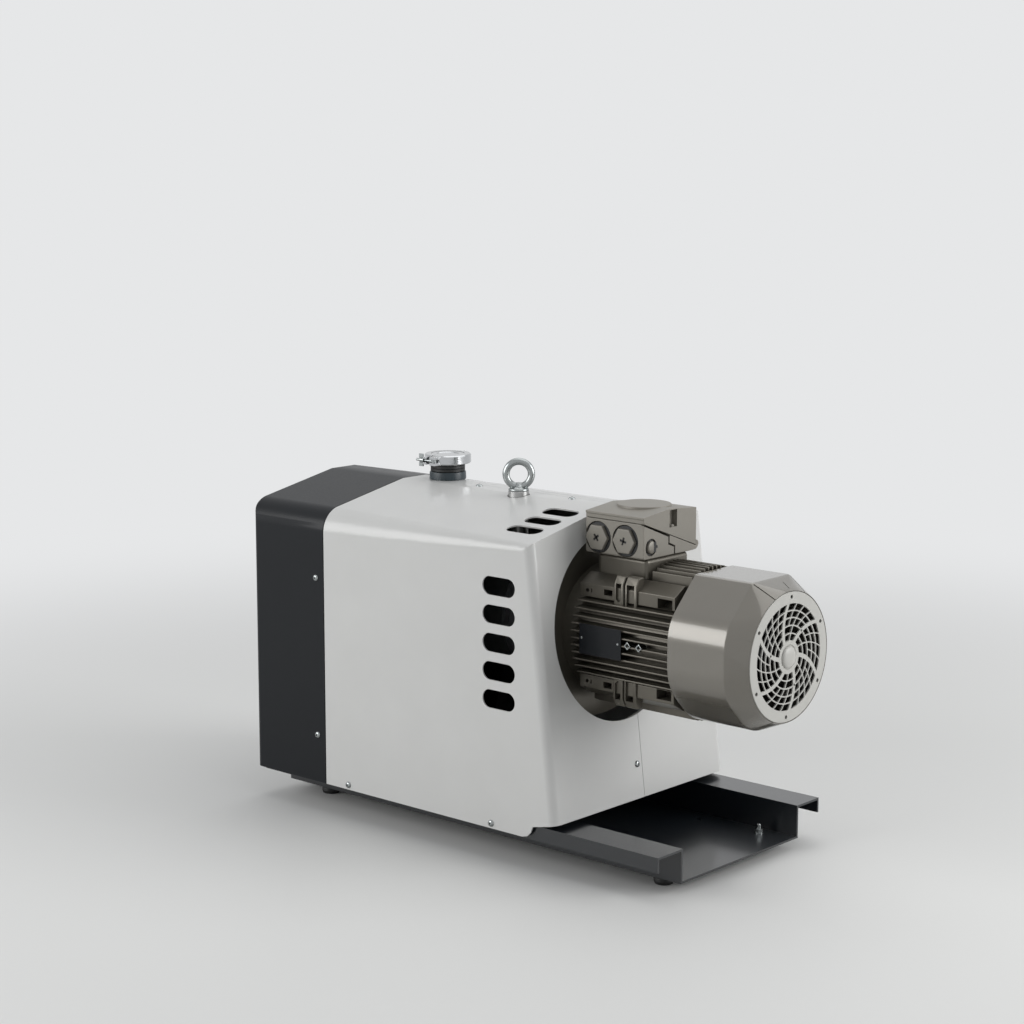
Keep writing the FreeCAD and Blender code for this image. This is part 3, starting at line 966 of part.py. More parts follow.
node("inlet_sleeve", turned("inlet_sleeve", "z", INLET,
                            [("roof_z - 5", "pipe_outer"), ("roof_z - 5", "sleeve_neck - 0.4"),
     ("roof_z", "sleeve_neck - 0.4"), ("roof_z", "sleeve_radius"), ("roof_z + 11", "sleeve_radius"),
     ("roof_z + 11.5", "sleeve_neck"), ("clamp_bottom - 1.1", "sleeve_neck"),
     ("clamp_bottom - 1.1", "pipe_outer")]))
node("centring_ring", turned("centring_ring", "z", INLET, [("port_face_z - 2.4", "18.6"),
     ("port_face_z - 2.4", "pipe_bore - 0.15"), ("port_face_z", "pipe_bore - 0.15"),
     ("port_face_z", "pipe_bore + 1.25"),
     (BLANK_FACE, "pipe_bore + 1.25"), (BLANK_FACE, "pipe_bore - 0.15"),
     (f"{BLANK_FACE} + 2", "pipe_bore - 0.15"),
     (f"{BLANK_FACE} + 2", "18.6")]))
node("seal_ring", ring("seal_ring", "z", INLET, "port_face_z", BLANK_FACE, "pipe_bore + 1.25",
                       "port_radius - 1.7"))
node("blank_flange", turned("blank_flange", "z", INLET,
                            [(f"{BLANK_FACE} + 2.2", "0"), (f"{BLANK_FACE} + 2.2", "pipe_bore"),
     (BLANK_FACE, "pipe_bore"), (BLANK_FACE, "port_radius"), (f"{BLANK_FACE} + 2.6", "port_radius"),
     ("clamp_top - 0.2", "clamp_lip - 0.8"), ("clamp_top - 0.2", "17"), ("clamp_top - 1.2", "16"),
     ("clamp_top - 1.2", "0")]))

GROOVE = "port_radius + rest_gap"
CLAMP_PROFILE = [("clamp_bottom", "clamp_lip + 0.4"), ("clamp_bottom + 1", "clamp_outer - 1"),
                 ("clamp_bottom + 2", "clamp_outer"), ("clamp_top - 1.5", "clamp_outer"),
                 ("clamp_top", "clamp_outer - 1.5"), ("clamp_top", "clamp_lip"),
                 (f"{BLANK_FACE} + 2.7", GROOVE),
                 ("port_face_z - 2.7", GROOVE)]
LOWER, CENTRAL, UPPER = (("clamp_bottom + 1", "clamp_bottom + 4.8"),
                         ("clamp_bottom + 5", "clamp_bottom + 9.6"),
                         ("clamp_bottom + 9.8", "clamp_top - 1"))


def hinge_knuckle(name, side, level):
    """Knuckle on the hinge axis with its link to the ring on one side (-1 or +1)."""
    low, high = level
    barrel = cylinder(name + "_knuckle", "z", ("inlet_x", HINGE_Y, low), "knuckle", f"({high}) - ({low})")
    x = ("inlet_x - 9", "inlet_x") if side < 0 else ("inlet_x", "inlet_x + 9")
    return fuse(name + "_hinge", barrel, box(name + "_link", x, ("inlet_y + clamp_outer - 5", HINGE_Y),
                                             level))


def clamp_half(name, side, extras):
    body = turned(name + "_ring", "z", INLET, CLAMP_PROFILE)
    x = ("inlet_x - 60", "inlet_x - 0.6") if side < 0 else ("inlet_x + 0.6", "inlet_x + 60")
    room = box(name + "_room", x, ("inlet_y - 60", "inlet_y + 60"), ("roof_z", SKY))
    hinge_way = cylinder(name + "_hinge_way", "z", ("inlet_x", HINGE_Y, "roof_z"), "knuckle + 0.4", "60")
    return fuse(name + "_solid", cut(name + "_half", common(name + "_arc", body, room), hinge_way), *extras)


def pin_way(x, y, radius):
    return cylinder("pin_way", "z", (x, y, "roof_z + 8"), radius, "40")


ear = box("ear", ("inlet_x - 9", "inlet_x - 2"), (f"{BOLT_Y} - 4", f"{BOLT_Y} + 8"),
          (f"{CLAMP_MIDDLE} - 5.5", f"{CLAMP_MIDDLE} + 5.5"))
ear_way = box("ear_way", ("inlet_x - 12", "inlet_x - 1"), (f"{BOLT_Y} - 5", f"{BOLT_Y} + rod_radius + 0.9"),
              (f"{CLAMP_MIDDLE} - rod_radius - 0.7", f"{CLAMP_MIDDLE} + rod_radius + 0.7"))
fixed_half = clamp_half("clamp_fixed_half", -1, [ear, hinge_knuckle("fixed", -1, CENTRAL)])
node("clamp_fixed_half", cut("clamp_fixed_half", fixed_half, ear_way,
                             pin_way("inlet_x", HINGE_Y, "pin_radius + fit_gap")))
lugs = [box("bolt_lug", (f"{BOLT_X} - 5", f"{BOLT_X} + 5"), (f"{BOLT_Y} - 4", f"{BOLT_Y} + 9"), level)
        for level in (LOWER, UPPER)]
lugs += [hinge_knuckle("swing", 1, level) for level in (LOWER, UPPER)]
swing_half = clamp_half("clamp_swing_half", 1, lugs)
eye_room = cylinder("eye_room", "z", (BOLT_X, BOLT_Y, "clamp_bottom + 4.8"), "knuckle + 0.4", "5")
node("clamp_swing_half", cut("clamp_swing_half", swing_half, eye_room,
                             pin_way("inlet_x", HINGE_Y, "pin_radius"),
     pin_way(BOLT_X, BOLT_Y, "pin_radius")))
node("clamp_pins", group("clamp_pins", *[cylinder("clamp_pin", "z", (x, y, "clamp_bottom + 0.5"),
                                                  "pin_radius",
     "clamp_top - clamp_bottom - 0.8") for x, y in (("inlet_x", HINGE_Y), (BOLT_X, BOLT_Y))]))
eye = cylinder("bolt_eye", "z", (BOLT_X, BOLT_Y, f"{CLAMP_MIDDLE} - 2.1"), "knuckle - 0.4", "4.2")
rod = cylinder("bolt_rod", "x", (f"{BOLT_X} - 34", BOLT_Y, CLAMP_MIDDLE), "rod_radius", "31.5")
node("clamp_bolt", cut("clamp_bolt", fuse("clamp_bolt_body", rod, eye),
                       pin_way(BOLT_X, BOLT_Y, "pin_radius + fit_gap")))
NUT_FRONT = "(inlet_x - 9 - nut_gap)"
nut_body = cylinder("nut_body", "x", (f"{NUT_FRONT} - 6", BOLT_Y, CLAMP_MIDDLE), "knuckle", "6")
wings = [box("nut_wing", (f"{NUT_FRONT} - 10", f"{NUT_FRONT} - 2.5"), (f"{BOLT_Y} - 1", f"{BOLT_Y} + 1"), z)
         for z in ((f"{CLAMP_MIDDLE} + 2.5", f"{CLAMP_MIDDLE} + 9"),
                   (f"{CLAMP_MIDDLE} - 9", f"{CLAMP_MIDDLE} - 2.5"))]
node("wing_nut", cut("wing_nut", fuse("wing_nut_body", nut_body, *wings), cylinder("nut_way", "x",
     (f"{NUT_FRONT} - 12", BOLT_Y, CLAMP_MIDDLE), "rod_radius + fit_gap", "14")))

# Lifting eye screwed into a post that stands on the gear housing and comes through the roof.
EYE = ("eye_x", "motor_y")
node("lifting_post", turned("lifting_post", "z", EYE, [(CASING_TOP, "0"), (CASING_TOP, "post_foot"),
     (f"{CASING_TOP} + 8", "post_foot"), (f"{CASING_TOP} + 8", "post_radius"),
     ("eye_base_z - 0.5", "post_radius"),
     ("eye_base_z", "post_radius - 0.5"), ("eye_base_z", "eye_thread"), ("eye_base_z - 18", "eye_thread"),
     ("eye_base_z - 18", "0")]))
eye_stem = turned("eye_stem", "z", EYE, [("eye_base_z - 17", "0"), ("eye_base_z - 17", "eye_thread"),
                  ("eye_base_z", "eye_thread"), ("eye_base_z", "post_radius - 2"),
                  ("eye_base_z + 2", "post_radius - 2.5"),
                  ("eye_base_z + 6", "eye_wire + 1"), ("eye_base_z + 6", "0")])
eye_loop = add("Part::Torus", "eye_loop")
bind(eye_loop, Radius1="eye_ring", Radius2="eye_wire")
place(eye_loop, EYE + ("eye_base_z + eye_ring + eye_wire + 0.5",),
      Rotation(Vector(0, 0, 1), 40).multiply(Rotation(Vector(1, 0, 0), 90)))
node("eyebolt", fuse("eyebolt", eye_stem, eye_loop))

# Welded cradle that carries the casing on the tray.
CRADLE_X = ("cradle_rear", "cradle_front")
TOP_Y = ("motor_y + 6", "motor_y + shaft_spacing - 6")
SEAT_Z = "(motor_z - casing_radius)"
cradle = [box("cradle_foot", CRADLE_X, ("inlet_y - 108", "inlet_y + 108"),
              (PLATE_TOP, f"{PLATE_TOP} + cradle_plate")),
          box("cradle_top", CRADLE_X, TOP_Y, (f"{SEAT_Z} - cradle_plate", SEAT_Z)),
          box("cradle_spine", ("cradle_rear + 22", "cradle_front - 16"), ("inlet_y - 3", "inlet_y + 3"),
              (f"{PLATE_TOP} + 5", f"{SEAT_Z} - 5"))]
for x in ("cradle_rear + 22", "cradle_front - 22"):
    cradle.append(slab("cradle_web", "yz", [("inlet_y - 98", f"{PLATE_TOP} + 5"),
                                            ("inlet_y + 98", f"{PLATE_TOP} + 5"),
                  (TOP_Y[1], f"{SEAT_Z} - 5"), (TOP_Y[0], f"{SEAT_Z} - 5")], x, f"{x} + cradle_plate"))
node("pump_cradle", fuse("pump_cradle", *cradle))

# Exhaust silencer inside the rear cover, flanged to the end plate and ending in the rear wall.
node("silencer_shell", turned("silencer_shell", "x", EXHAUST,
                              [(PLATE_REAR, "exhaust_port"), (PLATE_REAR, "28"),
     (f"{PLATE_REAR} - 6", "28"), (f"{PLATE_REAR} - 6", "exhaust_port + 4"),
     ("silencer_front", "exhaust_port + 4"),
     ("silencer_front", "silencer_radius"), ("silencer_rear", "silencer_radius"),
     ("silencer_rear", "exhaust_stub"),
     ("cover_rear + 1", "exhaust_stub"), ("cover_rear + 1", "exhaust_stub - silencer_wall"),
     ("silencer_rear + silencer_wall", "exhaust_stub - silencer_wall"),
     ("silencer_rear + silencer_wall", "silencer_radius - silencer_wall"),
     ("silencer_front - silencer_wall", "silencer_radius - silencer_wall"),
     ("silencer_front - silencer_wall", "exhaust_port")]))
tube = ring("silencer_tube", "x", EXHAUST, "silencer_rear + silencer_wall",
            "silencer_front - silencer_wall",
            "core_tube - 2", "core_tube")
tube_ways = [cylinder("tube_way", "z", (f"silencer_rear + 20 + {i} * 17", "inlet_y", "exhaust_z - 30"), "4",
                      "60")
             for i in range(5)]
node("silencer_core", cut("silencer_core", tube, *tube_ways))

doc.recompute()
problems = []
for obj in doc.Objects:
    if any(word in ("Invalid", "Error") for word in obj.State):
        problems.append("%s: %s" % (obj.Name, obj.State))
for obj in nodes:
    if obj.Shape.isNull() or not obj.Shape.isValid() or not obj.Shape.Solids:
        problems.append("%s: bad shape" % obj.Label)
if problems:
    raise RuntimeError("; ".join(problems))

os.makedirs("parts", exist_ok=True)
for obj in nodes:
    obj.Shape.exportStep("parts/%s.step" % obj.Label)
    frame = obj.Shape.BoundBox
    print("%-18s %2d solids  x %.1f %.1f  y %.1f %.1f  z %.1f %.1f" % (obj.Label, len(obj.Shape.Solids),
          frame.XMin, frame.XMax, frame.YMin, frame.YMax, frame.ZMin, frame.ZMax))
print(len(nodes), "nodes")
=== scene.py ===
"""Claw vacuum pump under its sheet hood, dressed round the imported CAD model.

The pieces' sizes are in millimetres, which MM turns to Blender's metres. The camera, the floor and
the lamps are placed in metres.
"""
import math
import bpy
from mathutils import Matrix, Vector


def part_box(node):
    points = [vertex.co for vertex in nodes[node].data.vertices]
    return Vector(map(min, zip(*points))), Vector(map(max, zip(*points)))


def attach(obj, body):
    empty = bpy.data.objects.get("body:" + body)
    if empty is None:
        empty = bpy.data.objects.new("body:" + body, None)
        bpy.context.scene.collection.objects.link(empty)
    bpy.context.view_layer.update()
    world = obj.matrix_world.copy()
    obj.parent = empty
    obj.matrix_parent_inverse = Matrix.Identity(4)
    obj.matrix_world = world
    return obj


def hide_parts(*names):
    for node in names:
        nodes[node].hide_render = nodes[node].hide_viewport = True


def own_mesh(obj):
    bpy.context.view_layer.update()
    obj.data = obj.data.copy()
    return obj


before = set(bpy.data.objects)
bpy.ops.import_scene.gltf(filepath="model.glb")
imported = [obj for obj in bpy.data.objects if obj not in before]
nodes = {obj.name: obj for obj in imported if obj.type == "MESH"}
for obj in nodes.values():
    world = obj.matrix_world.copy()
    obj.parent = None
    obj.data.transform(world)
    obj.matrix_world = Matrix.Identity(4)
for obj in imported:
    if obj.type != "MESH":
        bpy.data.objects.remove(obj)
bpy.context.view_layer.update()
bpy.ops.object.select_all(action="DESELECT")

# Camera. It stands where the photograph was taken from, off the motor end of the near side and a
# little above the roof, with a long lens. Its directions were fitted to the pump's straight edges.
CAMERA_STAND = (2.02728, -2.36180, 0.96226)
RIGHTWARD = Vector((0.746484, 0.665403, 0.000807))
UPWARD = Vector((-0.110107, 0.122328, 0.986363))
AHEAD = Vector((-0.656231, 0.736393, -0.164581))
FILM_WIDTH, LENS_LENGTH = 36.0, 80.48
FARTHEST_SEEN = 60.0
bpy.ops.object.camera_add(location=CAMERA_STAND)
camera = bpy.context.object
camera.name = "photo_camera"
camera.rotation_euler = Matrix((RIGHTWARD, UPWARD, -AHEAD)).transposed().to_euler()
camera.data.sensor_width = FILM_WIDTH
camera.data.lens = LENS_LENGTH
camera.data.clip_end = FARTHEST_SEEN
bpy.context.scene.camera = camera
bpy.context.scene.view_settings.view_transform = "Standard"

# Studio floor. A plain sheet of pale painted board that runs far behind the pump and keeps its
# shadow. Further out it fades to the pale air, so that no horizon shows, in bright metal either.
FLOOR_SIZE = 60.0
FADE_START, FADE_END = 0.55, 2.6


def srgb(colour):
    """Linear values of a #RRGGBB colour."""
    parts = [int(colour[i:i + 2], 16) / 255 for i in (1, 3, 5)]
    return tuple(p / 12.92 if p <= 0.04045 else ((p + 0.055) / 1.055) ** 2.4 for p in parts) + (1.0,)


def add_node(tree, kind, settings=None, **inputs):
    """Adds a node, sets its properties, and fills or links its inputs by name, or by number as i0, i1."""
    made = tree.nodes.new(kind)
    for key, value in (settings or {}).items():
        setattr(made, key, value)
    for key, value in inputs.items():
        by_number = key[0] == "i" and key[1:].isdigit()
        socket = made.inputs[int(key[1:]) if by_number else key.replace("_", " ")]
        if isinstance(value, bpy.types.NodeSocket):
            tree.links.new(value, socket)
        else:
            socket.default_value = value
    return made


def new_material(name):
    """Empty node material and its tree."""
    material = bpy.data.materials.new(name)
    material.use_nodes = True
    tree = material.node_tree
    tree.nodes.clear()
    return material, tree


def seen_rays(tree):
    """1 for what the camera sees, straight or in metal and glass, and 0 for rays that only carry light."""
    path = add_node(tree, "ShaderNodeLightPath")
    seen = path.outputs["Is Camera Ray"]
    for ray in ("Is Glossy Ray", "Is Transmission Ray"):
        both = add_node(tree, "ShaderNodeMath", {"operation": "MAXIMUM"}, i0=seen, i1=path.outputs[ray])
        seen = both.outputs[0]
    return seen


PALE_AIR = srgb("#E6E7E8")
floor_board, tree = new_material("painted_floor_board")
shader = add_node(tree, "ShaderNodeBsdfPrincipled", Base_Color=srgb("#DDDDDB"), Roughness=0.6)
place = add_node(tree, "ShaderNodeTexCoord")
distance = add_node(tree, "ShaderNodeVectorMath", {"operation": "LENGTH"}, i0=place.outputs["Object"])
fade = add_node(tree, "ShaderNodeMapRange", {"interpolation_type": "SMOOTHERSTEP"},
                Value=distance.outputs["Value"], From_Min=FADE_START, From_Max=FADE_END)
share = add_node(tree, "ShaderNodeMath", {"operation": "MULTIPLY"}, i0=fade.outputs[0], i1=seen_rays(tree))
air = add_node(tree, "ShaderNodeEmission", Color=PALE_AIR, Strength=1.0)
mixed = add_node(tree, "ShaderNodeMixShader", Fac=share.outputs[0], i1=shader.outputs[0], i2=air.outputs[0])
add_node(tree, "ShaderNodeOutputMaterial", Surface=mixed.outputs[0])
bpy.ops.mesh.primitive_plane_add(size=FLOOR_SIZE, location=(0, 0, 0))
floor = bpy.context.object
floor.name = "studio_floor"
floor.data.materials.append(floor_board)

# Studio air and lamps. An even pale world lights the pump a little from all round. Three large dim
# soft boxes stand over the roof, by the camera's left shoulder for the white side, and to the far
# right for the fan end.
AIR_LIGHT = 0.42
world = bpy.data.worlds.new("studio_air")
bpy.context.scene.world = world
world.use_nodes = True
tree = world.node_tree
tree.nodes.clear()
lit = add_node(tree, "ShaderNodeBackground", Color=srgb("#D5D8DC"), Strength=AIR_LIGHT)
shown = add_node(tree, "ShaderNodeBackground", Color=PALE_AIR, Strength=1.0)
mixed = add_node(tree, "ShaderNodeMixShader", Fac=seen_rays(tree), i1=lit.outputs[0], i2=shown.outputs[0])
add_node(tree, "ShaderNodeOutputWorld", Surface=mixed.outputs[0])


def soft_box(name, stand, target, size, watts):
    """Area lamp on a stand, facing a target."""
    bpy.ops.object.light_add(type="AREA", location=stand)
    lamp = bpy.context.object
    lamp.name = name
    lamp.data.shape = "RECTANGLE"
    lamp.data.size, lamp.data.size_y = size
    lamp.data.energy = watts
    lamp.rotation_euler = (Vector(target) - Vector(stand)).to_track_quat("-Z", "Y").to_euler()


soft_box("roof_soft_box", stand=(0.1, 0.6, 2.4), target=(0.0, 0.0, 0.3), size=(3.2, 2.4), watts=24)
soft_box("side_soft_box", stand=(-1.6, -2.6, 1.3), target=(0.0, 0.0, 0.25), size=(2.4, 1.9), watts=54)
soft_box("motor_soft_box", stand=(2.6, 1.3, 1.2), target=(0.15, 0.0, 0.3), size=(1.8, 1.8), watts=54)

# Hood halves. Folded 2 mm sheet steel with the ventilation slots laser cut before coating, so their
# edges are white too. The baked powder coat gives a smooth satin gloss with faint orange peel.
MM = 0.001


def mottled(tree, colour, other, patch_mm, detail):
    """Two close tints in soft patches; gives the tint and the pattern behind it."""
    place = add_node(tree, "ShaderNodeTexCoord")
    patches = add_node(tree, "ShaderNodeTexNoise", Vector=place.outputs["Object"],
                       Scale=1 / (patch_mm * MM), Detail=detail)
    tint = add_node(tree, "ShaderNodeMix", {"data_type": "RGBA"}, Factor=patches.outputs["Fac"],
                    i6=srgb(colour), i7=srgb(other))
    return tint.outputs[2], patches.outputs["Fac"]


def grained(tree, grain_mm, depth_mm, strength, detail):
    """Relief with a grain of its own size and depth; gives the bumped normal and the pattern behind it."""
    place = add_node(tree, "ShaderNodeTexCoord")
    grain = add_node(tree, "ShaderNodeTexNoise", Vector=place.outputs["Object"],
                     Scale=1 / (grain_mm * MM), Detail=detail)
    bump = add_node(tree, "ShaderNodeBump", Height=grain.outputs["Fac"], Strength=strength,
                    Distance=depth_mm * MM)
    return bump.outputs[0], grain.outputs["Fac"]


def closed_with(material, tree, **sockets):
    """Closes a material with one principled shader, its sockets given by name."""
    shader = add_node(tree, "ShaderNodeBsdfPrincipled", **sockets)
    add_node(tree, "ShaderNodeOutputMaterial", Surface=shader.outputs[0])
    return material


def powder_coat(name, colour, darker, roughness, varnish, peel_mm, peel_depth, mirror):
    """Baked powder coat: mottled by a few percent, with orange peel drawn coarse enough to show."""
    material, tree = new_material(name)
    tint, _ = mottled(tree, colour, darker, patch_mm=71.43, detail=3.0)
    normal, peel = grained(tree, peel_mm, peel_depth, strength=0.35, detail=2.0)
    dull = add_node(tree, "ShaderNodeMapRange", Value=peel, To_Min=roughness - 0.03, To_Max=roughness + 0.05)
    return closed_with(material, tree, Base_Color=tint, Roughness=dull.outputs[0], Normal=normal,
                       Specular_IOR_Level=mirror, Coat_Weight=varnish, Coat_Roughness=0.14)


def alone(obj):
    """Makes obj the only selected object, in object mode."""
    bpy.ops.object.select_all(action="DESELECT")
    obj.select_set(True)
    bpy.context.view_layer.objects.active = obj


def apply_all(obj):
    """Applies every modifier of obj in order."""
    alone(obj)
    for modifier in list(obj.modifiers):
        bpy.ops.object.modifier_apply(modifier=modifier.name)
    return obj


def settle(obj):
    """Puts the place, turn and size of obj into its mesh."""
    alone(obj)
    bpy.ops.object.transform_apply(location=True, rotation=True, scale=True)
    return obj


def eased(obj, width_mm, segments=2, limit=30):
    """Rounds every edge that turns by more than the limit in degrees."""
    bevel = obj.modifiers.new("eased_edges", "BEVEL")
    bevel.width, bevel.segments, bevel.limit_method = width_mm * MM, segments, "ANGLE"
    bevel.angle_limit = math.radians(limit)
    return apply_all(obj)


WELD = 0.01 * MM
COPLANAR, SHARP = 0.5, 40


def eased_copy(node, edge_mm, segments=2):
    """Welded copy of a CAD node with its coplanar triangles dissolved and its sharp edges rounded."""
    obj = nodes[node].copy()
    obj.data = nodes[node].data.copy()
    obj.parent = None
    for key in list(obj.keys()):
        del obj[key]
    bpy.context.scene.collection.objects.link(obj)
    alone(obj)
    bpy.ops.object.mode_set(mode="EDIT")
    bpy.ops.mesh.select_all(action="SELECT")
    bpy.ops.mesh.customdata_custom_splitnormals_clear()
    bpy.ops.mesh.remove_doubles(threshold=WELD)
    bpy.ops.mesh.dissolve_limited(angle_limit=math.radians(COPLANAR))
    bpy.ops.object.mode_set(mode="OBJECT")
    return eased(obj, edge_mm, segments, SHARP)


FLAT_FACES_FIRST = 90


def dress(obj, name, material, body, slot, *replaced, angle=35):
    """Finishes a piece: place in the mesh, smooth shading up to an angle, material and body. The slot is not
    used.
    """
    obj.name = obj.data.name = name
    settle(obj)
    bpy.ops.object.shade_smooth_by_angle(angle=math.radians(angle))
    weighted = obj.modifiers.new("flat_faces_first", "WEIGHTED_NORMAL")
    weighted.keep_sharp, weighted.weight = True, FLAT_FACES_FIRST
    apply_all(obj)
    obj.data.materials.clear()
    obj.data.materials.append(material)
    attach(obj, body)
    if replaced:
        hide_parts(*replaced)
    return obj


white_coat = powder_coat("white_powder_coat", "#C9C9C7", "#C2C2C0", roughness=0.34, varnish=0.35,
                         peel_mm=4.0, peel_depth=0.05, mirror=0.5)
FOLD = 0.5
for node, name in (("hood_near_half", "near_hood_panel"), ("hood_far_half", "far_hood_panel")):
    dress(eased_copy(node, FOLD), name, white_coat, "pump", "white_powder_coat", node)

# Rear cover and tray. The same sheet work in anthracite powder coat: finely textured and dull on the
# cover, smoother and glossier on the tray, which carries the whole set on its four feet.
dark_coat = powder_coat("anthracite_powder_coat", "#111418", "#0E1115", roughness=0.40, varnish=0.14,
                        peel_mm=3.0, peel_depth=0.10, mirror=0.14)
tray_coat = powder_coat("anthracite_tray_coat", "#13171C", "#101418", roughness=0.30, varnish=0.6,
                        peel_mm=3.0, peel_depth=0.06, mirror=0.4)
TRAY_FOLD = 0.8
dress(eased_copy("rear_cover", FOLD), "rear_sheet_cover", dark_coat, "pump", "anthracite_powder_coat",
      "rear_cover")
dress(eased_copy("base_tray", TRAY_FOLD), "folded_tray", tray_coat, "pump", "anthracite_powder_coat",
      "base_tray")


# Seam strip. Moulded black rubber, pressed between the hood and the rear cover. It has a dry skin
# with a trace of bloom, and a fine matt grain that is drawn coarser than the real one.
def rubber(name, colour, bloom, roughness):
    """Moulded rubber: near black, with patches of bloom and a matt grain."""
    material, tree = new_material(name)
    tint, _ = mottled(tree, colour, bloom, patch_mm=16.667, detail=4.0)
    normal, _ = grained(tree, grain_mm=1.111, depth_mm=0.08, strength=0.2, detail=1.0)
    return closed_with(material, tree, Base_Color=tint, Roughness=roughness, Normal=normal)


def finish_nodes(material, *names):
    """Gives carried-over CAD nodes their finish."""
    for name in names:
        slots = nodes[name].data.materials
        slots.clear()
        slots.append(material)


black_rubber = rubber("moulded_black_rubber", "#0B0C0C", "#141515", roughness=0.5)
finish_nodes(black_rubber, "seam_gasket")


# Shafts, gears, bearings, bolts, pipe and silencer. Turned or drawn steel, bare under a film of oil,
# with fine tool marks and a sheen that wanders. Nearly all of it works inside the hood.
def metal(name, colour, other, sheen, cloud_mm, bump_depth=0.02, metallic=1.0):
    """Bare or plated metal: two close tints in clouds, a sheen that wanders with them and a finer grain."""
    material, tree = new_material(name)
    tint, clouds = mottled(tree, colour, other, cloud_mm, detail=4.0)
    normal, _ = grained(tree, cloud_mm / 8, bump_depth, strength=0.25, detail=1.0)
    dull = add_node(tree, "ShaderNodeMapRange", Value=clouds, To_Min=sheen[0], To_Max=sheen[1])
    return closed_with(material, tree, Base_Color=tint, Metallic=metallic, Roughness=dull.outputs[0],
                       Normal=normal)


turned_steel = metal("turned_steel", "#9C9C9B", "#AFAFAE", sheen=(0.22, 0.38), cloud_mm=8.333)
finish_nodes(turned_steel, "housing_bolts", "drive_shaft", "driven_shaft", "drive_gear", "driven_gear",
             "pump_bearings", "motor_shaft", "motor_bearings", "inlet_pipe", "centring_ring", "clamp_pins",
             "lifting_post", "silencer_shell", "silencer_core")

# Bell housing, hubs and valve plate. Sand cast aluminium, pale and dull with a lightly pitted skin,
# machined only where it meets other pieces.
raw_casting = metal("sand_cast_aluminium", "#8E9092", "#A3A4A5", sheen=(0.42, 0.60), cloud_mm=11.111,
                    bump_depth=0.15)
finish_nodes(raw_casting, "bell_housing", "drive_hub", "motor_hub", "valve_plate")

# Claws and their housings. Grey cast iron, dark and matt with a coarse skin, bolted up in a stack
# round the two shafts.
grey_iron = metal("grey_cast_iron", "#4A4C4C", "#585A59", sheen=(0.50, 0.68), cloud_mm=11.111,
                  bump_depth=0.2, metallic=0.6)
finish_nodes(grey_iron, "rotor_housing", "end_plate", "gear_housing", "gear_cover", "drive_claw",
             "driven_claw")

# Motor core. A stack of electrical steel sheets under a thin blue-grey skin, and windings of copper
# wire, which the varnish turns red-brown.
lamination = metal("electrical_steel", "#5C6066", "#6B6F75", sheen=(0.40, 0.55), cloud_mm=6.667)
copper = metal("varnished_copper", "#8E4A22", "#A4572B", sheen=(0.25, 0.40), cloud_mm=10.0)
finish_nodes(lamination, "stator_core", "motor_rotor")
finish_nodes(copper, "stator_windings")

# Valve spring. A coil of drawn steel wire between its lower guide and the inlet valve's plate. When
# the plate goes down by its 12 mm lift, the coil shortens toward its lower end.
WIRE_EDGE = 0.05
valve_coil = dress(eased_copy("valve_spring", WIRE_EDGE, segments=1), "wound_valve_spring", turned_steel,
                   "pump", "spring_steel", "valve_spring")
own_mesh(valve_coil)

# Shaft seals, seal ring and pump cradle. The seals are moulded from the same rubber as the seam
# strip, and the cradle under the pump end is folded steel in the cover's dark coat.
finish_nodes(black_rubber, "shaft_seals", "seal_ring")
finish_nodes(dark_coat, "pump_cradle")


# Motor end shields, fan, terminal board and coupling spider. The shields are die cast and sprayed in
# stone grey, the fan and board are moulded in black plastic, and the spider is cast in red rubber.
def painted_casting(name, colour, other, roughness, grain_mm, depth, metallic=0.0, varnish=0.0):
    """Paint over a casting, or a moulding: soft sheen, close tints, a grain drawn coarse enough to show."""
    material, tree = new_material(name)
    tint, _ = mottled(tree, colour, other, patch_mm=45.455, detail=5.0)
    normal, grain = grained(tree, grain_mm, depth, strength=0.3, detail=3.0)
    dull = add_node(tree, "ShaderNodeMapRange", Value=grain, To_Min=roughness - 0.015,
                    To_Max=roughness + 0.03)
    return closed_with(material, tree, Base_Color=tint, Roughness=dull.outputs[0], Normal=normal,
                       Metallic=metallic, Coat_Weight=varnish, Coat_Roughness=0.1)


stone_grey = painted_casting("stone_grey_enamel", "#57534B", "#605C53", roughness=0.32, grain_mm=3.0,
                             depth=0.05, metallic=0.45)
black_plastic = painted_casting("black_polyamide", "#0D0E0F", "#151617", roughness=0.38, grain_mm=2.0,
                                depth=0.05)
red_elastomer = painted_casting("red_polyurethane", "#A02015", "#AC2A1D", roughness=0.42, grain_mm=2.0,
                                depth=0.02)
finish_nodes(stone_grey, "drive_end_shield", "fan_end_shield")
finish_nodes(black_plastic, "cooling_fan", "terminal_board")
finish_nodes(red_elastomer, "coupling_spider")

# Oil sight glass. A moulded plug of clear, faintly green plastic, screwed into the gear housing's
# side, where the hood hides it.
sight = closed_with(*new_material("clear_sight_glass"), Base_Color=srgb("#DDE3DC"), Roughness=0.08,
                    Transmission_Weight=0.8)
finish_nodes(sight, "sight_glass")


# Motor frame. A die-cast finned tube: long side fins whose tips lie on a circle, thinner top and
# bottom fins, two bolting rails on each side with lugs and pockets, and the neck of the terminal box.
def middle(node, axis):
    """Middle of a CAD node's box along an axis (0 to 2), in millimetres to one decimal."""
    low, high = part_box(node)
    return round((low[axis] + high[axis]) / 2 / MM, 1)


def ends(node, axis):
    """Lowest and highest millimetre of a CAD node along an axis (0 to 2), to one decimal."""
    return [round(corner[axis] / MM, 1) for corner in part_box(node)]


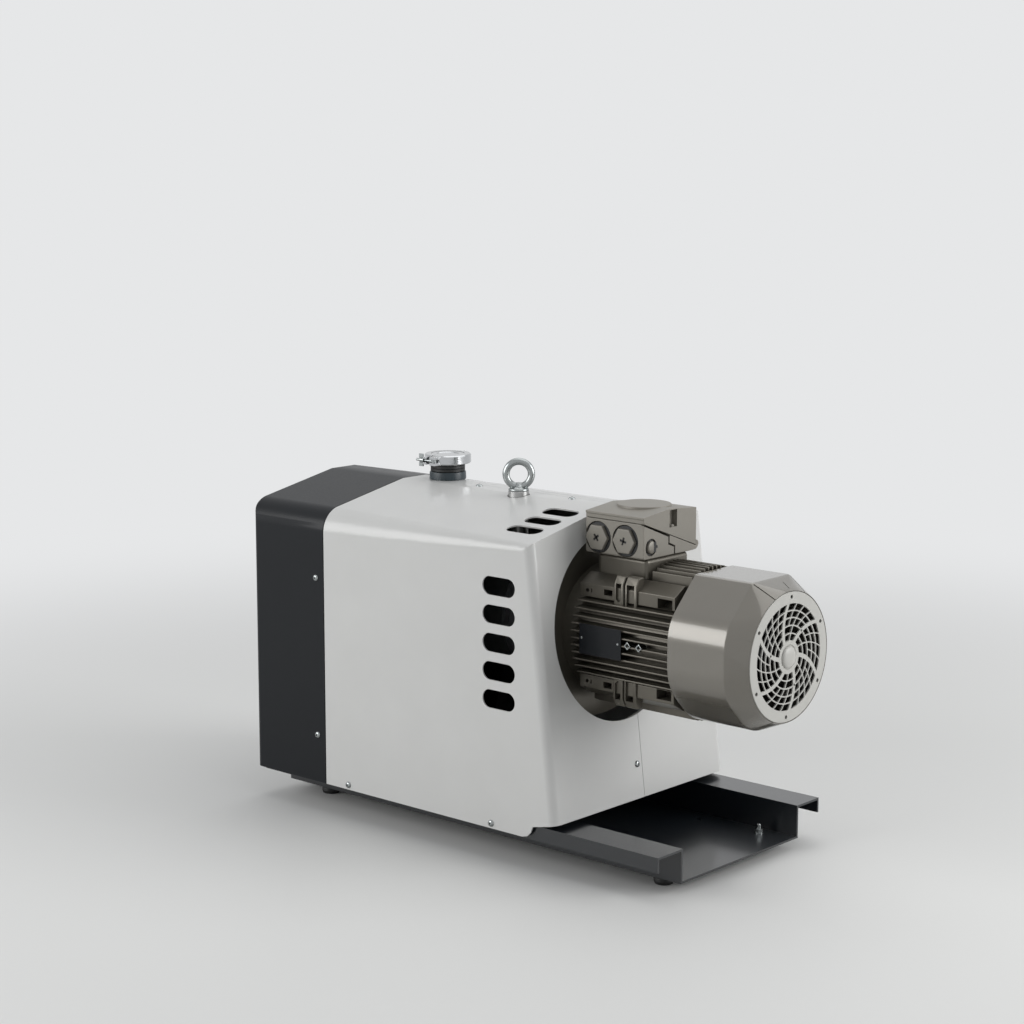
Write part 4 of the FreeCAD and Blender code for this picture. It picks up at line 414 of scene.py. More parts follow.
AXIS_Y, AXIS_Z = middle("fan_cowl", 1), middle("fan_cowl", 2)
FRAME_REAR, FRAME_FRONT = ends("motor_housing", 0)
BORE_RADIUS, BODY_RADIUS = 72.0, 79.0
SIDE_TIP, SIDE_PITCH = 94.5, 9.6
TALL_TIP, TALL_PITCH, TALL_FRONT = 102.0, 8.5, 291.0
FIN_ROOT, FIN_THICK, ROOT_SHARE, FIN_GAP, FIN_EDGE = 66, 2.2, 0.85, 2, 0.7
FIN_ROWS = range(-5, 6)
BEHIND_NECK = 226.0


def spot(axis, level, a, b):
    """Point in metres from a level along an axis and the two millimetres across it."""
    point = {"x": (level, a, b), "y": (a, level, b), "z": (a, b, level)}[axis]
    return Vector(point) * MM


def face_out(weld=0.0):
    """Ends edit mode on a closed shape: merges doubles if asked, and turns all faces outward."""
    bpy.ops.mesh.select_all(action="SELECT")
    if weld:
        bpy.ops.mesh.remove_doubles(threshold=weld)
    bpy.ops.mesh.normals_make_consistent(inside=False)
    bpy.ops.object.mode_set(mode="OBJECT")


SEED = 10 * MM


def block(axis, outline, low, high):
    """Outline of corners on the plane across an axis, extruded from low to high."""
    bpy.ops.object.select_all(action="DESELECT")
    bpy.ops.mesh.primitive_circle_add(vertices=len(outline), radius=SEED, fill_type="NGON",
                                      location=(0, 0, 0))
    obj = bpy.context.object
    for corner, (a, b) in zip(obj.data.vertices, outline):
        corner.co = spot(axis, low, a, b)
    bpy.ops.object.mode_set(mode="EDIT")
    bpy.ops.mesh.select_all(action="SELECT")
    bpy.ops.mesh.extrude_region_move(TRANSFORM_OT_translate={"value": spot(axis, high - low, 0, 0)})
    face_out()
    return obj


def bar(x, y, z):
    """Rectangular bar between low and high millimetres on each axis."""
    return block("x", [(y[0], z[0]), (y[1], z[0]), (y[1], z[1]), (y[0], z[1])], x[0], x[1])


def bridge_ends(obj, count):
    """Joins the first and last rings, of count points each, of a skin that was drawn out ring by ring."""
    last = len(obj.data.vertices) - count
    for vertex in obj.data.vertices:
        vertex.select = vertex.index < count or vertex.index >= last
    for edge in obj.data.edges:
        edge.select = all(v < count for v in edge.vertices) or all(v >= last for v in edge.vertices)
    bpy.ops.object.mode_set(mode="EDIT")
    bpy.ops.mesh.bridge_edge_loops()


FACING = {"x": (0, math.pi / 2, 0), "y": (-math.pi / 2, 0, 0), "-y": (math.pi / 2, 0, 0), "z": (0, 0, 0)}
POLE_RADIUS, POLE_WELD = 0.001, 0.002 * MM


def turned(axis, centre, stations, sides=64, hollow=False):
    """Round piece: a circle drawn out from station to station, each with its own level and radius."""
    bpy.ops.object.select_all(action="DESELECT")
    level, radius = stations[0]
    bpy.ops.mesh.primitive_circle_add(vertices=sides, radius=radius * MM, location=(0, 0, level * MM),
                                      fill_type="NOTHING" if hollow else "NGON")
    obj = settle(bpy.context.object)
    bpy.ops.object.mode_set(mode="EDIT")
    bpy.ops.mesh.select_all(action="SELECT")
    for next_level, next_radius in stations[1:]:
        step = (next_level - level) * MM
        bpy.ops.mesh.extrude_region_move(TRANSFORM_OT_translate={"value": (0, 0, step)})
        size = max(next_radius, POLE_RADIUS) / max(radius, POLE_RADIUS)
        bpy.ops.transform.resize(value=(size, size, 1), center_override=(0, 0, next_level * MM))
        level, radius = next_level, next_radius
    if hollow:
        bpy.ops.object.mode_set(mode="OBJECT")
        bridge_ends(obj, sides)
    face_out(POLE_WELD)
    obj.rotation_euler = FACING[axis]
    obj.location = Vector(centre) * MM
    return settle(obj)


def joined(*parts):
    """Loose bodies made one object, as by a weld."""
    bpy.ops.object.select_all(action="DESELECT")
    for part in parts:
        part.select_set(True)
    bpy.context.view_layer.objects.active = parts[0]
    if len(parts) > 1:
        bpy.ops.object.join()
    return bpy.context.object


def cut(obj, *cutters):
    """Takes the cutters out of obj."""
    tool = joined(*cutters)
    modifier = obj.modifiers.new("cut", "BOOLEAN")
    modifier.operation, modifier.object, modifier.solver = "DIFFERENCE", tool, "EXACT"
    modifier.use_self = len(cutters) > 1
    apply_all(obj)
    bpy.data.objects.remove(tool)
    return obj


def fin(x, root, tip, level, upright):
    """Cooling fin along X, a little thicker at its root; upright fins stand on Z, the others on Y."""
    half, foot = FIN_THICK / 2, FIN_THICK * ROOT_SHARE
    outline = [(root, level - foot), (tip, level - half), (tip, level + half), (root, level + foot)]
    if upright:
        outline = [(b, a) for a, b in outline]
    return eased(block("x", outline, *x), FIN_EDGE)


frame_parts = [turned("x", (0, AXIS_Y, AXIS_Z),
                      [(FRAME_REAR, BORE_RADIUS), (FRAME_REAR, BODY_RADIUS),
                       (FRAME_FRONT, BODY_RADIUS), (FRAME_FRONT, BORE_RADIUS)], 96, hollow=True)]
for side in (-1, 1):
    for k in FIN_ROWS:
        reach = math.sqrt(SIDE_TIP ** 2 - (SIDE_PITCH * k) ** 2)
        frame_parts.append(fin((FRAME_REAR + FIN_GAP, FRAME_FRONT - FIN_GAP), AXIS_Y + side * FIN_ROOT,
                               AXIS_Y + side * reach, AXIS_Z + SIDE_PITCH * k, upright=False))
        reach = math.sqrt(TALL_TIP ** 2 - (TALL_PITCH * k) ** 2)
        start = BEHIND_NECK if side > 0 else FRAME_REAR + FIN_GAP
        frame_parts.append(fin((start, TALL_FRONT), AXIS_Z + side * FIN_ROOT, AXIS_Z + side * reach,
                               AXIS_Y + TALL_PITCH * k, upright=True))

# The rails' outlines give each corner as millimetres out and up from the motor axis. Each pocket has
# its length on X and its rise, each lug its length, its slot's length and its slot's rise.
RAIL_OUTLINE = ((50, 52), (73, 52.5), (73, 70), (52, 82), (50, 82))
LUG_OUTLINE = ((60, 46), (74, 46), (76, 50), (76, 76), (70, 87), (60, 87))
POCKETS = (((147.5, 149.5), (58.5, 64)), ((169.5, 183.5), (58, 66)), ((258, 282), (53, 66)))
LUGS = (((188, 204), (191.5, 200.5), (56, 77)), ((206, 226), (209.5, 222), (50, 77)))
RAIL_REAR_GAP, RAIL_FRONT_GAP, RAIL_EDGE, LUG_EDGE = 1, 14, 0.8, 1.6
POCKET_REACH, LUG_SLOT_REACH, SLOT_POINT = (76, 52), (80, 61), 4
TAPPED_X, TAPPED_RISE, TAPPED_RADIUS, TAPPED_DEPTH = 141.5, 61, 2.7, 12


def rail(side, level):
    """Bolting rail on one side (-1 near, 1 far), above or below the shaft (level 1 or -1)."""
    def out(*reach):
        return [AXIS_Y + side * r for r in reach]

    def up(*rise):
        return [AXIS_Z + level * r for r in rise]

    def corners(outline):
        return list(zip(out(*(a for a, _ in outline)), up(*(b for _, b in outline))))

    across = sorted(out(*POCKET_REACH))
    face = eased(block("x", corners(RAIL_OUTLINE), FRAME_REAR + RAIL_REAR_GAP, FRAME_FRONT - RAIL_FRONT_GAP),
                 RAIL_EDGE)
    holes = [turned("y", (TAPPED_X, across[0], *up(TAPPED_RISE)),
                    [(0, TAPPED_RADIUS), (TAPPED_DEPTH, TAPPED_RADIUS)], 24)]
    holes += [bar(length, across, sorted(up(*rise))) for length, rise in POCKETS]
    pieces = [cut(face, *holes)]
    for length, (start, stop), (foot, head) in LUGS:
        lug = eased(block("x", corners(LUG_OUTLINE), *length), LUG_EDGE, 3)
        foot_z, point_z, head_z = up(foot, foot - SLOT_POINT, head)
        slot = block("y", [(start, foot_z), ((start + stop) / 2, point_z), (stop, foot_z), (stop, head_z),
                           (start, head_z)], *sorted(out(*LUG_SLOT_REACH)))
        pieces.append(cut(lug, slot))
    return pieces


for side in (-1, 1):
    for level in (-1, 1):
        frame_parts += rail(side, level)
NECK_REAR, NECK_FRONT, NECK_NEAR, NECK_FAR = 139, 222, -73.5, 15.5
NECK_FOOT, NECK_TOP, NECK_CORNER = 362, 414.3, 6
CABLE_X, CABLE_RADIUS, CABLE_LENGTH = (NECK_REAR + NECK_FRONT) / 2, 20, 70
neck = block("z", [(NECK_REAR, NECK_NEAR), (NECK_FRONT, NECK_NEAR), (NECK_FRONT, NECK_FAR),
                   (NECK_REAR, NECK_FAR)], NECK_FOOT, NECK_TOP)
eased(neck, NECK_CORNER, 4)
cut(neck, turned("z", (CABLE_X, AXIS_Y, NECK_FOOT - 12),
                 [(0, CABLE_RADIUS), (CABLE_LENGTH, CABLE_RADIUS)], 48))
frame_parts.append(neck)
dress(joined(*frame_parts), "finned_motor_frame", stone_grey, "pump", "stone_grey_paint", "motor_housing")

# Rating plate and earth lugs, on the near side's fins. A bare plate in dark enamel, held by two round
# rivets, and two square studs with a hollow face. Zinc plating is bright with a bluish bloom.
zinc = metal("zinc_plated_steel", "#8F9496", "#A3A6A4", sheen=(0.16, 0.32), cloud_mm=16.667)
PLATE_X, PLATE_Y, PLATE_Z, PLATE_EDGE = (146.5, 216.5), (-119.2, -118.2), (287, 327.5), 0.4
RIVET_SPOTS, RIVET_FOOT, RIVET = ((150.3, 308.5), (211, 308.2)), -118.0, [(0, 1.7), (1.4, 1.7), (1.9, 1.0)]
STUD_SPOTS, STUD_FOOT, STUD_EDGE = ((227.0, 308.2), (245.5, 308.2)), -108.0, 0.5
STUD = [(0, 5.4), (11.5, 5.4), (11.5, 3.2), (4, 3.2)]
plate = eased(bar(PLATE_X, PLATE_Y, PLATE_Z), PLATE_EDGE)
dress(plate, "bare_rating_plate", dark_coat, "pump", "black_plastic")
studs = [turned("-y", (x, RIVET_FOOT, z), RIVET, 16) for x, z in RIVET_SPOTS]
studs += [eased(turned("-y", (x, STUD_FOOT, z), STUD, sides=4), STUD_EDGE) for x, z in STUD_SPOTS]
dress(joined(*studs), "plate_rivets_and_lugs", zinc, "pump", "zinc_plated_steel")

# Fan cowl. Pressed steel in glossy stone grey enamel: eight-sided with soft creases, a nose that
# tapers to a round rim, dark joint lines along its creases, a cable slit on top and a rolled rear edge.
cowl_grey = painted_casting("stone_grey_cowl_enamel", "#6C6860", "#726E66", roughness=0.25, grain_mm=6.0,
                            depth=0.004, metallic=0.35, varnish=1.0)
COWL_REAR, COWL_FRONT = ends("fan_cowl", 0)
NOSE_START, NOSE_LENGTH, NOSE_TAPER = 382.0, 29, 11.6
HALF_WIDTH, RIM_LIP = 97.5, 1.5
SIDE_TURN, STEPS, SHADING = 45, 8, 28
CREASES = (6.0, 14.0, 40.0, 60.0, 66.0, 68.0, 58.0, 6.0)


def cowl_ring(x, apothem, round_share):
    """Eight-sided outline, each crease rounded by its own radius, all of them rounder toward the rim."""
    ring = []
    for i, crease in enumerate(CREASES):
        corner = math.radians(SIDE_TURN / 2 + SIDE_TURN * i)
        radius = crease + (apothem - RIM_LIP - crease) * round_share
        reach = (apothem - radius) / math.cos(math.radians(SIDE_TURN / 2))
        for k in range(STEPS + 1):
            turn = corner + math.radians(-SIDE_TURN / 2 + SIDE_TURN * k / STEPS)
            ring.append(spot("x", x, AXIS_Y + reach * math.sin(corner) + radius * math.sin(turn),
                             AXIS_Z + reach * math.cos(corner) + radius * math.cos(turn)))
    return ring


def lofted(rings):
    """Closed skin through rings of equal count: a circle extruded ring by ring, the ends bridged."""
    bpy.ops.object.select_all(action="DESELECT")
    bpy.ops.mesh.primitive_circle_add(vertices=len(rings[0]), radius=SEED, location=(0, 0, 0))
    obj = bpy.context.object
    for vertex, point in zip(obj.data.vertices, rings[0]):
        vertex.co = point
    for ring in rings[1:]:
        bpy.ops.object.mode_set(mode="EDIT")
        bpy.ops.mesh.extrude_region_move(TRANSFORM_OT_translate={"value": (MM, 0, 0)})
        bpy.ops.object.mode_set(mode="OBJECT")
        fresh = [vertex for vertex in obj.data.vertices if vertex.select]
        for vertex, point in zip(fresh, ring):
            vertex.co = point
    bridge_ends(obj, len(rings[0]))
    face_out()
    return obj


# Rings from the rolled rear edge over the nose and rim, and back inside, each with its place on X,
# half its width across flats and how far its creases are rounded to a circle.
ROLLED_EDGE = ((0.6, 95.4), (0.0, 96.2), (0.0, 96.9), (0.6, HALF_WIDTH))
rings = [cowl_ring(COWL_REAR + step, half, 0.0) for step, half in ROLLED_EDGE]
rings += [cowl_ring(NOSE_START - 1.2, HALF_WIDTH, 0.0), cowl_ring(NOSE_START + 1.0, 97.0, 0.03)]
for share in (0.15, 0.3, 0.45, 0.6, 0.75, 0.88):
    rings.append(cowl_ring(NOSE_START + NOSE_LENGTH * share, HALF_WIDTH - NOSE_TAPER * share,
                           0.08 + 0.9 * share ** 1.3))
RIM = ((411.2, 85.6, 0.99), (COWL_FRONT, 84.9, 1.0), (411.6, 84.5, 1.0), (409.5, 84.5, 1.0),
       (409.5, 81.0, 1.0), (407.5, 81.0, 1.0), (404.5, 84.0, 0.9), (NOSE_START, 95.0, 0.0))
rings += [cowl_ring(*ring) for ring in RIM]
cowl = lofted(rings)

# Joint lines, each with its angle from straight up, its crease's radius where the nose starts, half
# its width and its depth there.
JOINT_LINES = ((-22.5, 103.6, 0.8, 2.4), (-67.5, 103.0, 0.3, 0.6), (202.5, 101.8, 0.8, 2.4),
               (22.5, 103.6, 0.8, 2.4))
RIM_FLOOR, CLEAR_OF_COWL = 83.8, 120
CABLE_SLIT = [(392.5, -13.6), (393.6, -13.1), (407.9, -18.9), (407.1, -19.8)]
joints = []
for angle, crest, half, depth in JOINT_LINES:
    outline = [(NOSE_START + 2, crest - depth), (COWL_FRONT + 1, RIM_FLOOR), (COWL_FRONT + 1, CLEAR_OF_COWL),
               (NOSE_START + 2, CLEAR_OF_COWL)]
    joint = block("y", outline, -half, half)
    joint.rotation_euler = (-math.radians(angle), 0, 0)
    joint.location = spot("x", 0, AXIS_Y, AXIS_Z)
    joints.append(settle(joint))
joints.append(block("z", CABLE_SLIT, 385, 420))
cut(cowl, *joints)
dress(cowl, "fan_cowl_shell", cowl_grey, "pump", "stone_grey_paint", "fan_cowl", angle=SHADING)

# Air grille. One moulded disc in light grey plastic: six swirling spokes, five rings of rounded cells
# between them, a domed middle, six screw holes by the rim and three small holes through the spokes.
disc_grey = painted_casting("light_grey_moulding", "#AFAEA9", "#B6B5B0", roughness=0.34, grain_mm=3.0,
                            depth=0.02)
CELL_ROWS = ((21.6, 29.8, 2), (31.4, 39.9, 2), (41.5, 49.8, 4), (51.4, 59.0, 4), (60.6, 68.9, 4))
HUB_RADIUS, CELL_CORNER, DISC_EDGE = 17, 0.9, 0.2
SPOKES, SPOKE_START, SWIRL, SPOKE_HALF, RIB = 6, -32, 0.565, 2.8, 1.6
SPOKE_TURN = 360 // SPOKES
DOME = [(410.0, 83.9), (411.6, 83.9), (412.0, 83.5), (412.0, 16.6), (411.6, 16.0), (410.6, 15.6),
        (410.6, 14.6), (412.4, 14.2), (413.7, 12.9), (414.6, 10.6), (415.2, 7.4), (415.5, 4.0), (415.6, 1.2)]
THROUGH = (405, 416)


def on_disc(radius, degrees):
    """Point across the motor axis, from straight up toward +Y."""
    turn = math.radians(degrees)
    return AXIS_Y + radius * math.sin(turn), AXIS_Z + radius * math.cos(turn)


def arc(radius, start, stop):
    """The two inner points of an arc that is divided in three."""
    return [(radius, start + (stop - start) * k / 3) for k in (1, 2)]


disc = turned("x", (0, AXIS_Y, AXIS_Z), DOME, 96)
cells = []
for sector in range(SPOKES):
    for inner, outer, total in CELL_ROWS:
        for cell in range(total):
            left, right = [], []
            for k in range(3):
                radius = inner + (outer - inner) * k / 2
                edge = math.degrees(SPOKE_HALF / radius)
                rib = math.degrees(RIB / radius)
                width = (SPOKE_TURN - 2 * edge - (total - 1) * rib) / total
                start = (SPOKE_START + SWIRL * (radius - HUB_RADIUS) + SPOKE_TURN * sector
                         + edge + cell * (width + rib))
                left.append((radius, start))
                right.append((radius, start + width))
            outline = left + arc(outer, left[2][1], right[2][1]) + right[::-1]
            outline += arc(inner, right[0][1], left[0][1])
            cells.append(block("x", [on_disc(*point) for point in outline], *THROUGH))
cells = eased(joined(*cells), CELL_CORNER, 2, SHARP)

# The screw holes and the small holes on the spokes, each kind with its number, the radius that it lies on,
# the first one's angle, its bore and its sides.
SMALL_HOLES = ((6, 77.4, 2.6, 2.6, 16), (3, 40.3, 41, 1.7, 12))
small_holes = []
for number, reach, first, bore, sides in SMALL_HOLES:
    for k in range(number):
        point = on_disc(reach, first + 360 // number * k)
        small_holes.append(turned("x", (0, *point), [(x, bore) for x in THROUGH], sides))
cut(disc, cells, *small_holes)
dress(eased(disc, DISC_EDGE, 1, SHARP), "swirl_air_grille", disc_grey, "pump", "light_grey_plastic",
      "fan_grille")

# Terminal box. A die cast lower box in stone grey enamel, with two round plug seats and a stepped
# joint on its end face, and a roof shaped lid that reaches lower on the far side.
box_grey = painted_casting("stone_grey_box_enamel", "#7A766E", "#837F76", roughness=0.42, grain_mm=2.5,
                           depth=0.05, metallic=0.15)
BOX_REAR, BOX_FRONT = ends("terminal_box", 0)
BOX_NEAR, BOX_FAR = ends("terminal_box", 1)
WALL, BOX_EDGE, LID_EDGE, SHALLOW = 4, 0.9, 1.0, 25
PLUG_SPOTS = ((147.4, 436.6), (192.8, 436.6))
SEAT_SHIFT, SEAT = 0.6, [(0, 21.9), (1.7, 21.9), (2.4, 21.3), (6.0, 21.3)]
BOX_OUTLINE = [(BOX_NEAR, 416.8), (BOX_NEAR + 1.6, 415.0), (13.2, 414.6), (27.6, 415.2), (31.0, 417.6),
               (33.2, 420.8), (33.4, 424.0), (31.4, 426.8), (BOX_FAR + 0.2, 428.0), (BOX_FAR, 420.3),
               (BOX_NEAR, 461.4)]
JOINT_PATH = [(-86.0, 461.9), (-31.0, 440.2), (-31.0, 430.2), (-18.8, 425.3), (-18.8, 412.0)]
HOLLOW_Y, HOLLOW_Z = (BOX_NEAR + 6, BOX_FAR - 16), (419, 470)
END_SEAT_Y, END_Z = -68.4, 430.0
END_SEAT = [(BOX_FRONT - 5.0, 11.4), (BOX_FRONT, 11.5), (BOX_FRONT + 2, 12.6)]


def groove(path, width, depth):
    """Straight-sided cutters along a path on the box's end face."""
    cutters = []
    for (y1, z1), (y2, z2) in zip(path, path[1:]):
        length = math.hypot(y2 - y1, z2 - z1)
        dy, dz = (y2 - y1) / length * width / 2, (z2 - z1) / length * width / 2
        (ay, az), (by, bz) = (y1 - dy, z1 - dz), (y2 + dy, z2 + dz)
        cutters.append(block("x", [(ay - dz, az + dy), (by - dz, bz + dy), (by + dz, bz - dy),
                                   (ay + dz, az - dy)], BOX_FRONT - depth, BOX_FRONT + 2))
    return cutters


lower = eased(block("x", BOX_OUTLINE, BOX_REAR, BOX_FRONT), BOX_EDGE, 3, SHALLOW)
seats = [turned("y", (x + SEAT_SHIFT, BOX_NEAR - 2, z), SEAT, 64) for x, z in PLUG_SPOTS]
seats += [bar((BOX_REAR + WALL, BOX_FRONT - WALL), HOLLOW_Y, HOLLOW_Z),
          turned("z", (CABLE_X, AXIS_Y, 410), [(0, CABLE_RADIUS), (12, CABLE_RADIUS)], 48),
          turned("x", (0, END_SEAT_Y, END_Z), END_SEAT, 40)]
seats += groove(JOINT_PATH, width=2.5, depth=5.0)
cut(lower, *seats)
dress(lower, "terminal_box_body", box_grey, "pump", "stone_grey_paint", "terminal_box")

LID_OUTLINE = [(BOX_NEAR, 462.0), (BOX_NEAR, 467.2), (BOX_NEAR - 1.0, 467.6), (BOX_NEAR - 1.0, 470.4),
               (-27.4, 476.2), (BOX_FAR, 471.4), (BOX_FAR, 421.0)]
LID_HOLLOW = [(BOX_NEAR + 6, 440), (BOX_NEAR + 6, 466), (-27.4, 471.5), (BOX_FAR - 5, 466.5),
              (BOX_FAR - 5, 415)]
PAD_X, PAD_Y = 173.5, -19.0
PAD = [(470, 36.5), (475.6, 36.3), (476.6, 35.6), (476.8, 34.6), (476.8, 2.0)]
lid = eased(block("x", LID_OUTLINE, BOX_REAR, BOX_FRONT), LID_EDGE, 3, SHALLOW)
pad = turned("z", (PAD_X, PAD_Y, 0), PAD, 96)
screw_notch = bar((BOX_FRONT - 7.5, BOX_FRONT + 3), (-30.2, -14.2), (451.2, 474.0))
cut(lid, screw_notch, block("x", LID_HOLLOW, BOX_REAR + WALL, BOX_FRONT - 9))
dress(joined(lid, pad), "terminal_box_lid", box_grey, "pump", "stone_grey_paint", "terminal_lid")

# Plugs of the terminal box. Two hexagon blanking plugs in the box's own enamel with cross recesses, a round
# plug with an upright slot, and the screw that holds the lid. The black bars at the bottom of the recesses
# and the slot, and the black rings round the plug seats, are painted shade.
HEAD_RADIUS, HEAD_OUT, HEAD_IN, HEAD_EDGE = 18.4, 3.6, 3.0, 1.3
CROSS_TURNS, RECESS, SHADE_BAR_SIZE = (-38, 14), (10.8, 3.2), (10.6, 3.0)
HEXAGON = [math.radians(60 * k) for k in range(6)]
SEAT_SHADE_RING = [(-BOX_NEAR - 4.0, 20.6), (-BOX_NEAR - 2.0, 20.6), (-BOX_NEAR - 1.4, 20.0),
             (-BOX_NEAR - 1.3, 10.0)]
END_SHADE_RING_Y, END_SHADE_RING = -68.2, [(BOX_FRONT - 5.0, 11.1), (BOX_FRONT - 2.4, 11.1), (BOX_FRONT - 2.3, 8.0)]


def cross_bars(x, z, turn, length, width, y):
    """Two crossed bars through a point of the near face."""
    bars = []
    for angle in (turn, turn + 90):
        obj = bar((-length / 2, length / 2), y, (-width / 2, width / 2))
        obj.rotation_euler = (0, math.radians(angle), 0)
        obj.location = spot("x", x, 0, z)
        bars.append(settle(obj))
    return bars


# Each cross recess gets black bars at its bottom, and each plug seat a black ring round the hex: painted
# shade.
plugs, recess_shade_bars, seat_shade_rings = [], [], []
for (x, z), turn in zip(PLUG_SPOTS, CROSS_TURNS):
    corners = [(x + HEAD_RADIUS * math.cos(k), z + HEAD_RADIUS * math.sin(k)) for k in HEXAGON]
    head = eased(block("y", corners, BOX_NEAR - HEAD_OUT, BOX_NEAR + HEAD_IN), HEAD_EDGE, 3)
    cut(head, *cross_bars(x, z, turn, *RECESS, (BOX_NEAR - 9, BOX_NEAR - 1.4)))
    plugs.append(head)
    recess_shade_bars += cross_bars(x, z, turn, *SHADE_BAR_SIZE, (BOX_NEAR - 2.6, BOX_NEAR - 1.5))
    seat_shade_rings.append(turned("-y", (x + SEAT_SHIFT, 0, z), SEAT_SHADE_RING, 64))
# Black ring round the round plug's seat and black bars in its slot: painted shade.
seat_shade_rings.append(turned("x", (0, END_SHADE_RING_Y, END_Z), END_SHADE_RING, 40))
recess_shade_bars += [bar((222.0, 226.0), (-65.1, -59.7), (423.4, 436.6)),
            bar((222.0, 226.2), (-60.2, -56.8), (428.4, 431.6))]
dress(joined(*plugs), "hexagon_blanking_plugs", box_grey, "pump", "stone_grey_paint", "blanking_plugs")
dress(joined(*recess_shade_bars, *seat_shade_rings), "plug_recess_painted_shade", black_plastic, "pump", "black_rubber")

END_PLUG_Y, SCREW_X, SCREW_Y = -67.0, 220.6, -22.0
END_PLUG = [(215, 8.6), (224.0, 8.6), (225.6, 8.0), (226.4, 6.6), (226.7, 2.0)]
LID_SCREW = [(444, 3.0), (451.4, 3.0), (451.4, 3.9), (453.6, 3.9), (454.4, 3.0)]
round_plug = turned("x", (0, END_PLUG_Y, END_Z), END_PLUG, 48)
cut(round_plug, bar((223.0, 229), (-65.4, -59.4), (419, 441)), bar((223.0, 229), (-60, -55), (428.1, 431.9)))
lid_screw = turned("z", (SCREW_X, SCREW_Y, 0), LID_SCREW, 24)
dress(joined(round_plug, lid_screw), "slotted_plug_and_lid_screw", box_grey, "pump", "stone_grey_paint",
      "slotted_plug")

# Lifting eye. Drop forged steel, zinc plated: a plain ring on a round collar that flares out to its
# seat, screwed into the post above the gear housing.
EYE_X, EYE_Z, EYE_TURN = middle("eyebolt", 0), 494.3, 40
RING_RADIUS, RING_WIRE, RING_STEPS = 17.5, 5.0, 72
COLLAR = [(462, 4.9), (471.3, 4.9), (471.3, 12.6), (471.9, 14.0), (473.4, 14.3), (474.6, 13.6),
          (475.4, 11.4), (476.6, 8.4), (478.4, 6.8), (480.5, 5.8), (482.5, 4.0)]
bpy.ops.object.select_all(action="DESELECT")
bpy.ops.mesh.primitive_circle_add(vertices=28, radius=RING_WIRE * MM, location=(RING_RADIUS * MM, 0, 0),
                                  rotation=(math.pi / 2, 0, 0))
eye_ring = settle(bpy.context.object)
bpy.ops.object.mode_set(mode="EDIT")
bpy.ops.mesh.select_all(action="SELECT")
bpy.ops.mesh.spin(steps=RING_STEPS, angle=2 * math.pi, center=(0, 0, 0), axis=(0, 0, 1))
face_out(WELD)
eye_ring.rotation_euler = (math.pi / 2, 0, math.radians(EYE_TURN))
eye_ring.location = spot("z", EYE_Z, EYE_X, AXIS_Y)
collar = turned("z", (EYE_X, AXIS_Y, 0), COLLAR, 48)
dress(joined(eye_ring, collar), "forged_lifting_eye", zinc, "pump", "zinc_plated_steel", "eyebolt", angle=50)

# Inlet sleeve, blank flange, clamp and foot studs. A moulded rubber sleeve, black above and dark teal
# below, a blank and a hinged clamp of polished aluminium, and a swing bolt with its wing nut in zinc.
polished = metal("polished_aluminium", "#B4B6B8", "#C4C5C6", sheen=(0.10, 0.20), cloud_mm=33.333,
                 bump_depth=0.01)
teal_rubber = rubber("dark_teal_rubber", "#1D282C", "#26333A", roughness=0.38)
INLET = (middle("blank_flange", 0), middle("blank_flange", 1), 0)
SLEEVE_TOP = [(477.4, 22.4), (477.4, 24.3), (478.2, 24.9), (481.6, 24.9), (482.1, 24.4), (482.6, 24.9),
              (486.6, 24.9), (487.3, 24.2), (487.3, 22.4)]
SLEEVE_FOOT = [(461, 22.5), (461, 24.6), (466.1, 24.6), (466.1, 26.2), (467.0, 26.6), (475.9, 26.2),
               (477.0, 25.4), (477.3, 22.5)]
dress(turned("z", INLET, SLEEVE_TOP, 72, hollow=True), "inlet_sleeve_upper", black_rubber, "pump",
      "black_rubber", "inlet_sleeve")
dress(turned("z", INLET, SLEEVE_FOOT, 72, hollow=True), "inlet_sleeve_foot", teal_rubber, "pump",
      "black_rubber")
for node, name, body, slot, finish, edge in (
        ("blank_flange", "polished_blank_flange", "pump", "polished_aluminium", polished, 0.25),
        ("clamp_fixed_half", "clamp_ring_fixed_half", "pump", "polished_aluminium", polished, 0.35),
        ("clamp_swing_half", "clamp_ring_swing_half", "clamp_right", "polished_aluminium", polished, 0.35),
        ("clamp_bolt", "clamp_swing_bolt", "swing_bolt", "zinc_plated_steel", zinc, 0.2),
        ("wing_nut", "clamp_wing_nut", "nut", "zinc_plated_steel", zinc, 0.5),
        ("foot_studs", "foot_studs_and_nuts", "pump", "zinc_plated_steel", zinc, 0.25)):
    dress(eased_copy(node, edge), name, finish, body, slot, node)


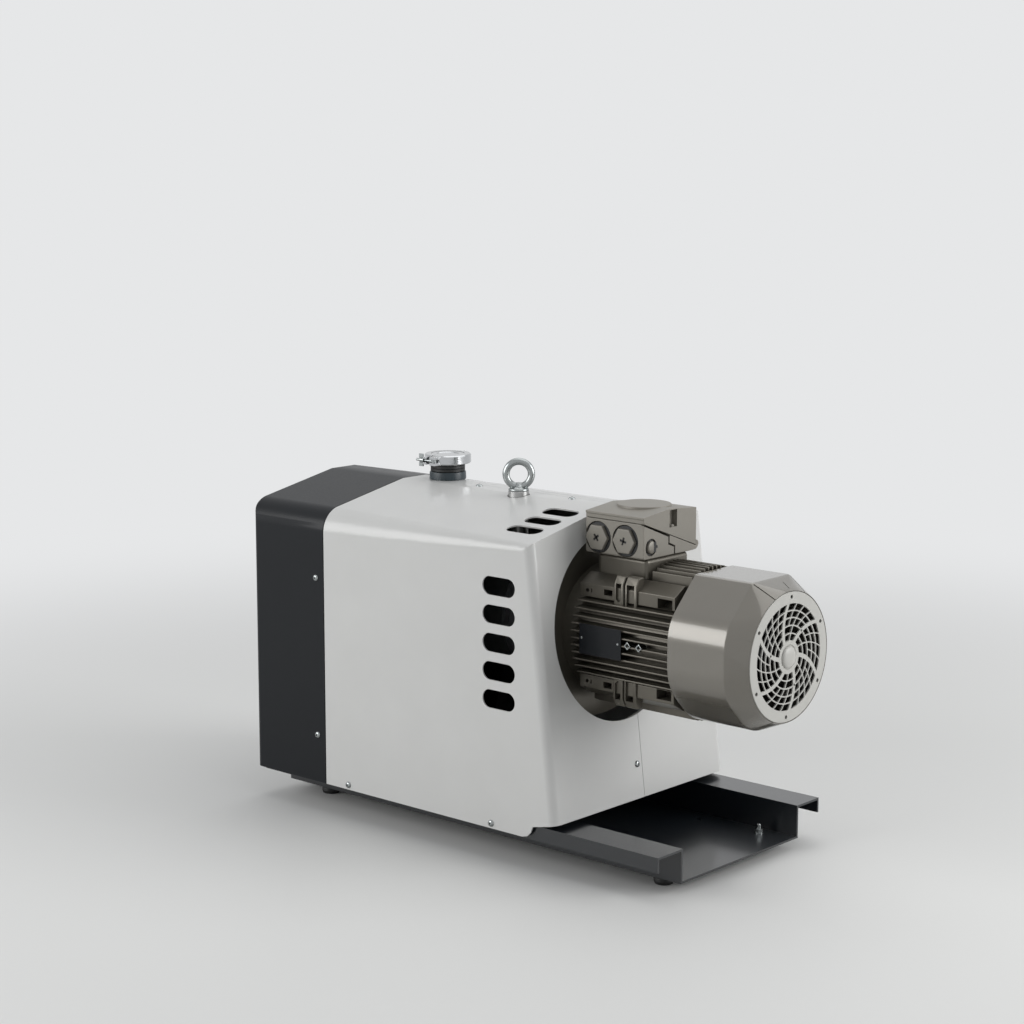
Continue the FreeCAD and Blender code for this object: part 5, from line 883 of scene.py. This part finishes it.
# Panel screws. Zinc plated button heads with hexagon sockets, one shape copied to each place: two in
# the roof, one under the round cut-out in the leaning motor end, and four along each side.
def moved_copy(obj, point, turn=(0, 0, 0)):
    """Copy with its own mesh, turned and set at a point in millimetres."""
    twin = obj.copy()
    twin.data = obj.data.copy()
    bpy.context.scene.collection.objects.link(twin)
    twin.rotation_euler = turn
    twin.location = Vector(point) * MM
    return twin


NEAR_SIDE, ROOF = ends("hood_near_half", 1)[0], ends("hood_near_half", 2)[1]
FAR_SIDE = ends("hood_far_half", 1)[1]
SIDE_SCREWS = ((-284.0, 340.3), (-284.0, 112.5), (-222.7, 50.55), (48.9, 50.55))
ROOF_SCREWS = ((-135.0, 0), (36.6, 0.4))
ROOF_SCREW_Y = -5.0
END_SCREW, END_LEAN = (155.65, -6.5, 115.3), math.atan(0.124)
SOCKET = [(0.9, 1.6), (3.5, 1.6)]
BUTTON = [(-9, 2.3), (0, 2.3), (0, 4.7), (0.5, 4.75), (1.5, 4.3), (2.3, 3.3), (2.8, 1.9)]
button = turned("z", (0, 0, 0), BUTTON, 32)
cut(button, turned("z", (0, 0, 0), SOCKET, sides=6))
places = [((x, ROOF_SCREW_Y, ROOF), (0, 0, turn)) for x, turn in ROOF_SCREWS]
places.append((END_SCREW, (0, math.pi / 2 - END_LEAN, 0)))
for x, z in SIDE_SCREWS:
    places += [((x, NEAR_SIDE, z), (math.pi / 2, 0.3, 0)), ((x, FAR_SIDE, z), (-math.pi / 2, 0, 0))]
screws = [moved_copy(button, point, turn) for point, turn in places]
bpy.data.objects.remove(button)
dress(joined(*screws), "button_head_screws", zinc, "pump", "zinc_plated_steel", "panel_screws")

# Feet. Moulded rubber buffers with a rounded tread and two shallow ribs, each bolted up under a
# corner of the tray by its stud; one shape copied to four places.
FOOT_X, FOOT_Y = (280.0, -340.0), (-105.0, 105.0)
FOOT = [(0, 9.0), (0, 11.0), (0.6, 12.0), (4.0, 13.2), (5.2, 13.5), (6.4, 13.1), (7.6, 13.5), (8.8, 13.1),
        (10.0, 13.5), (14.5, 13.5), (15.0, 13.0), (15.0, 3.2)]
foot = turned("z", (0, 0, 0), FOOT, 48)
feet = [moved_copy(foot, (x, y, 0)) for x in FOOT_X for y in FOOT_Y]
bpy.data.objects.remove(foot)
dress(joined(*feet), "moulded_rubber_feet", black_rubber, "pump", "black_rubber", "rubber_feet")
